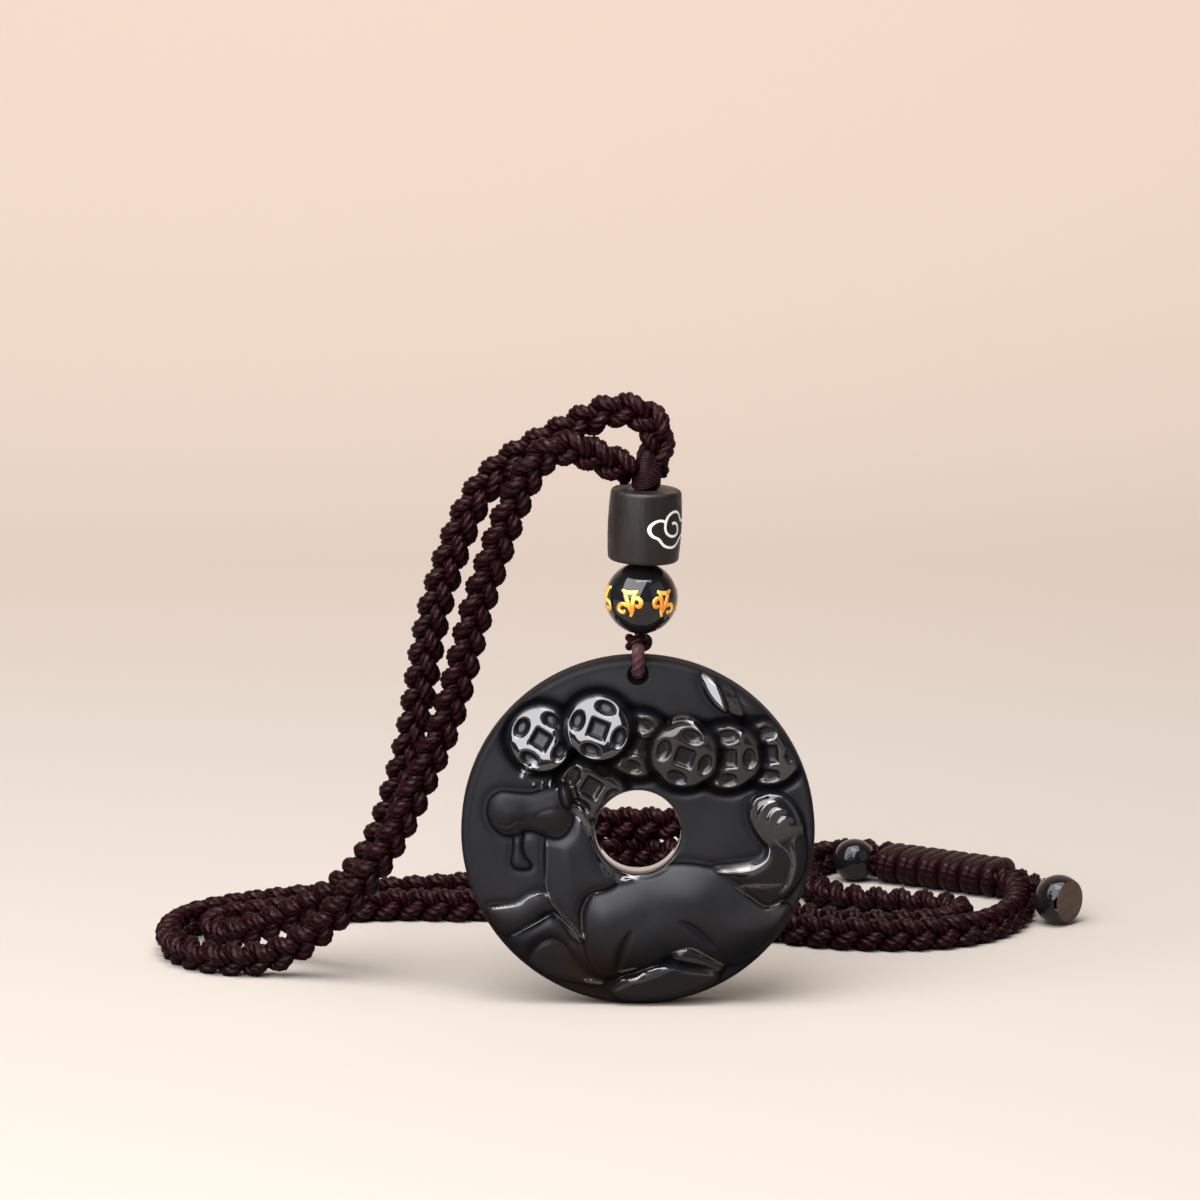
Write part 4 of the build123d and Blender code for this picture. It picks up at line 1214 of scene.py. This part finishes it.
class PENDANT_OT_round_bead(Operator):
    """The polished round bead with its gilt scrolls"""
    bl_idname = "pendant.round_bead"
    bl_label = "Round bead"

    def execute(self, context):
        middle = drop_top - drop_up * bead_down
        self.ball(middle, 1.1)
        scrolls = Build()
        for number in range(6):
            self.scroll(scrolls, middle, math.radians(60 * number - 20), -1 if number % 2 else 1)
        scrolls.piece("gilt_scrolls", material_gilding(), "round_bead", stands_for=False)
        return {"FINISHED"}

    def ball(self, middle, hole):
        """The drilled ball: its outside and its bore, turned round the drop's line."""
        end = math.asin(hole / bead_r)
        reach = bead_r * math.cos(end)
        profile = [(bead_r * math.cos(a), bead_r * math.sin(a))
                   for a in np.linspace(math.pi - end, end, 40)]
        profile += [(h, hole) for h in np.linspace(reach, -reach, 6)[1:-1]]
        build = Build()
        lathe(build, middle, drop_up, profile, 96, ring_of_rows=True)
        gloss = material_gloss("polished bead", (0.006, 0.006, 0.007, 1), 0.55)
        build.piece("polished_bead", gloss, "round_bead")

    def scroll(self, build, middle, around, way):
        """One scroll: a leaning stem with a leaf, two curls and a bar, laid on the ball."""
        lines = (
            [(0.9, 1.7), (0.6, 0.9), (0.5, 0.0), (0.5, -1.0), (0.2, -2.0)],
            [(-0.9, 1.6), (-0.5, 0.7), (-0.1, -0.3), (0.3, -1.4)],
            [(0.5, 0.5), (1.2, 0.8), (1.7, 0.3), (1.5, -0.4), (0.9, -0.3)],
            [(-0.2, -0.5), (-0.9, -0.2), (-1.6, -0.5), (-1.7, -1.2), (-1.0, -1.5), (-0.6, -1.1)],
            [(-1.4, 1.8), (-0.7, 1.5), (0.2, 1.5), (1.2, 1.8)],
        )
        for points in lines:
            flat = smooth_line(np.array(points) * (way, 1), 6)
            angle = around + flat[:, 0] / bead_r
            lift = flat[:, 1] / bead_r
            out = (np.cos(lift)[:, None] * (np.sin(angle)[:, None] * drop_side
                                            - np.cos(angle)[:, None] * drop_back)
                   + np.sin(lift)[:, None] * drop_up)
            line = middle + out * (bead_r - 0.02)
            thick = 0.34 * (0.5 + 0.5 * np.sin(np.linspace(0.25, math.pi - 0.25, len(line))))
            build.tube(line, thick, side=tuple(np.cross(out[0], line[1] - line[0])), flat=0.35)


class PENDANT_OT_barrel(Operator):
    """The wooden barrel and the silver cloud let into it"""
    bl_idname = "pendant.barrel"
    bl_label = "Barrel and cloud"

    def execute(self, context):
        dress("barrel_bead", material_wood())
        dress("cloud_inlay", material_silver())
        return {"FINISHED"}


# Threads and bindings


class PENDANT_OT_threads(Operator):
    """The thread through the beads, the loop through the disc and the knot between"""
    bl_idname = "pendant.threads"
    bl_label = "Threads and knot"

    def execute(self, context):
        yarn, thread = yarn_materials()
        self.bead_thread(thread)
        self.loop(thread)
        self.knot(yarn)
        return {"FINISHED"}

    def bead_thread(self, thread):
        """The thread from inside the binding down through both beads."""
        top, bottom = 1.45, 20.9
        build = Build()
        line = np.linspace(drop_top - drop_up * top, drop_top - drop_up * bottom, 90)
        self.plies(build, line, 0.42, 0.43, 3.4, (0, 1, 0))
        build.piece("bead_cord", thread, "bead_thread")

    def loop(self, thread):
        """The loop through the hole, up both faces and over the rim."""
        half = [(2.1, 0.05), (3.1, 0.95), (3.48, 2.1), (3.5, 3.55)]
        corners = [(-2.1, 0.05), *half] + [(-y, z) for y, z in half[:0:-1]]
        line = rounded_loop(corners, 0.55)
        line = np.column_stack([np.zeros(len(line)), line]) + hole_centre
        build = Build()
        self.plies(build, line, 0.47, 0.47, 3.1, (1, 0, 0), closed=True)
        build.tube(line, 0.82, sides=12, closed=True, side=(1, 0, 0))
        build.piece("disc_loop", thread, "disc_thread")

    def plies(self, build, line, out, radius, pitch, side, closed=False):
        """Three plies twisted round a line."""
        side_at, face_at = carried_frame(line, side, closed)
        lengths = travelled(line)
        total = lengths[-1] + (np.linalg.norm(line[0] - line[-1]) if closed else 0)
        turns = max(1, round(total / pitch))
        for ply in range(3):
            turn = 2 * math.pi * (turns * lengths / total + ply / 3)
            path = (line + side_at * (out * np.cos(turn))[:, None]
                    + face_at * (out * np.sin(turn))[:, None])
            build.tube(path, radius, sides=10, closed=closed, side=side)

    def knot(self, yarn):
        """A round button knot: three turns of cord over and under each other."""
        gap, half_height = 0.75, 1.18
        middle = np.array((hole_centre[0], 0.0, rim_top + gap + half_height))
        build = Build()
        turn = turn_of(220)
        radius = 1.12 + 0.22 * np.cos(3 * turn)
        path = np.column_stack([radius * np.cos(2 * turn) * 1.08, radius * np.sin(2 * turn),
                                0.62 * np.sin(3 * turn)])
        build.tube(middle + path, 0.60, sides=10, closed=True, side=(0, 0, 1))
        build.piece("button_knot", yarn, "drop_knot")


def rounded_loop(corners, radius):
    """A closed line with rounded corners, at even steps."""
    line = []
    for number in range(len(corners)):
        before, here, after = (np.array(corners[(number + k) % len(corners)]) for k in (-1, 0, 1))
        enter = here + unit(before - here) * radius
        leave = here + unit(after - here) * radius
        for share in np.linspace(0, 1, 8):
            line.append((1 - share) ** 2 * enter + 2 * share * (1 - share) * here + share ** 2 * leave)
    line.append(line[0])
    return even_steps(np.array(line), 0.22)[:-1]


class PENDANT_OT_binding(Operator):
    """The wrapped binding over the barrel"""
    bl_idname = "pendant.binding"
    bl_label = "Binding"

    def execute(self, context):
        yarn = yarn_materials()[0]
        build = Build()
        neck = [(-1.4, 0.9), (-1.4, 1.4), (-0.05, 1.42)]
        body = [(0.0, 1.5), (0.5, 1.95), (1.5, 2.0), (3.0, 1.9), (4.4, 1.6), (5.4, 1.1), (5.9, 0.6)]
        lathe(build, drop_top, drop_up, smooth_line(neck + body, 3), 40)
        turns = 12
        steps = np.linspace(0, turns * 2 * math.pi, turns * 40)
        height = 1.1 + 3.6 * steps / steps[-1]
        radius = np.interp(height, *np.transpose(body)) - 0.05
        lean = 1.15 * np.sin(steps + 0.6)
        line = (drop_top + (height + lean)[:, None] * drop_up
                + (radius * np.cos(steps))[:, None] * drop_side
                + (radius * np.sin(steps))[:, None] * drop_back)
        build.tube(line, 0.21, side=(0, 0, 1))
        build.piece("wrapped_binding", yarn, "top_binding")
        return {"FINISHED"}


# Sleeve, tails and their beads

sleeve_start = np.array((41.0, 80.9))
sleeve_heading = math.radians(-33.4)
sleeve_width = 9.2
sleeve_height = 5.4
rib_pitch = 1.84
rib_count = 11
sleeve_along = np.array((math.cos(sleeve_heading), math.sin(sleeve_heading), 0.0))
sleeve_across = np.array((-math.sin(sleeve_heading), math.cos(sleeve_heading), 0.0))
sleeve_origin = np.array((*sleeve_start, table_z + sleeve_height / 2))

end_bead_2_at = np.array((65.25, 50.0, -78.8))
end_bead_2_r = 3.7
end_bead_2_cut = 2.0
cut_heading = math.radians(-41)


class PENDANT_OT_sleeve(Operator):
    """The sliding sleeve of square knots and the two tails"""
    bl_idname = "pendant.sleeve"
    bl_label = "Sliding sleeve and tails"

    def execute(self, context):
        yarn = yarn_materials()[0]
        build = Build()
        for rib in range(rib_count):
            self.rib(build, rib)
        build.piece("knotted_sleeve", yarn, "slider_knot")
        for name, node, route in (
            ("tail_left", "tail_1", tail_1_route), ("tail_right", "tail_2", tail_2_route),
        ):
            tail = Build()
            plait(tail, even_steps(route_line(name, route), 0.3), 0.66)
            tail.piece(name, yarn, node)
        return {"FINISHED"}

    def rib(self, build, rib):
        """One half knot: a flat turn of cord round the core, leaning the other way each time."""
        radius = 0.7 * rib_pitch
        squareness, lean = 0.62, 0.28
        turn = turn_of(72)
        x, z = ((size / 2 - radius) * np.sign(wave) * np.abs(wave) ** squareness
                for size, wave in ((sleeve_width, np.cos(turn)), (sleeve_height, np.sin(turn))))
        along = (rib + 0.5) * rib_pitch + lean * np.cos(turn) * (1 if rib % 2 else -1)
        line = (sleeve_origin + x[:, None] * sleeve_across + along[:, None] * sleeve_along
                + z[:, None] * np.array((0, 0, 1.0)))
        build.tube(line, radius, sides=16, closed=True, side=tuple(sleeve_along), shade=0.35)


class PENDANT_OT_end_beads(Operator):
    """The two beads on the cord's tails"""
    bl_idname = "pendant.end_beads"
    bl_label = "End beads"

    def execute(self, context):
        gloss = material_gloss("end bead", (0.005, 0.005, 0.006, 1), 0.32)
        for node in ("end_bead_1", "end_bead_2"):
            dress(node, gloss)
        self.cut_face()
        return {"FINISHED"}

    def cut_face(self):
        """The bare wood of the second bead's flat: a thin skin over the CAD face."""
        out = np.array((math.cos(cut_heading), math.sin(cut_heading), 0.0))
        radius = math.sqrt(end_bead_2_r ** 2 - end_bead_2_cut ** 2)
        rows = [(end_bead_2_cut - 0.02, radius - 0.05), (end_bead_2_cut + 0.02, radius - 0.08),
                (end_bead_2_cut + 0.03, radius * 0.5)]
        build = Build()
        lathe(build, end_bead_2_at, out, rows, 48)
        build.piece("cut_face", material_cut_wood(), "end_bead_2", stands_for=False)


class PENDANT_PT_panel(Panel):
    """Lists the pendant's pieces and what can be changed"""
    bl_label = "Disc pendant"
    bl_idname = "PENDANT_PT_panel"
    bl_space_type = "VIEW_3D"
    bl_region_type = "UI"
    bl_category = "Pendant"

    def draw(self, context):
        layout = self.layout
        for operator in operators:
            layout.operator(operator.bl_idname)
        for name, group in settings.items():
            box = layout.box()
            box.label(text=group.__doc__)
            for label in group.__annotations__:
                box.prop(getattr(context.scene, name), label)


settings = {
    "pendant_stone": StoneSettings,
    "pendant_beads": BeadSettings,
    "pendant_cord": CordSettings,
    "pendant_stage": StageSettings,
}
operators = [
    PENDANT_OT_stage, PENDANT_OT_sleeve, PENDANT_OT_cords, PENDANT_OT_end_beads, PENDANT_OT_disc,
    PENDANT_OT_barrel, PENDANT_OT_round_bead, PENDANT_OT_threads, PENDANT_OT_binding,
]


def register():
    """Registers the settings, operators and panel."""
    for group in settings.values():
        bpy.utils.register_class(group)
    for name, group in settings.items():
        setattr(bpy.types.Scene, name, PointerProperty(type=group))
    for operator in operators:
        bpy.utils.register_class(operator)
    bpy.utils.register_class(PENDANT_PT_panel)


def unregister():
    """Removes what register added."""
    bpy.utils.unregister_class(PENDANT_PT_panel)
    for operator in reversed(operators):
        bpy.utils.unregister_class(operator)
    for name, group in settings.items():
        delattr(bpy.types.Scene, name)
        bpy.utils.unregister_class(group)


def main():
    """Makes the pendant, piece by piece."""
    register()
    for operator in operators:
        group, name = operator.bl_idname.split(".")
        getattr(getattr(bpy.ops, group), name)()


if __name__ == "__main__":
    main()
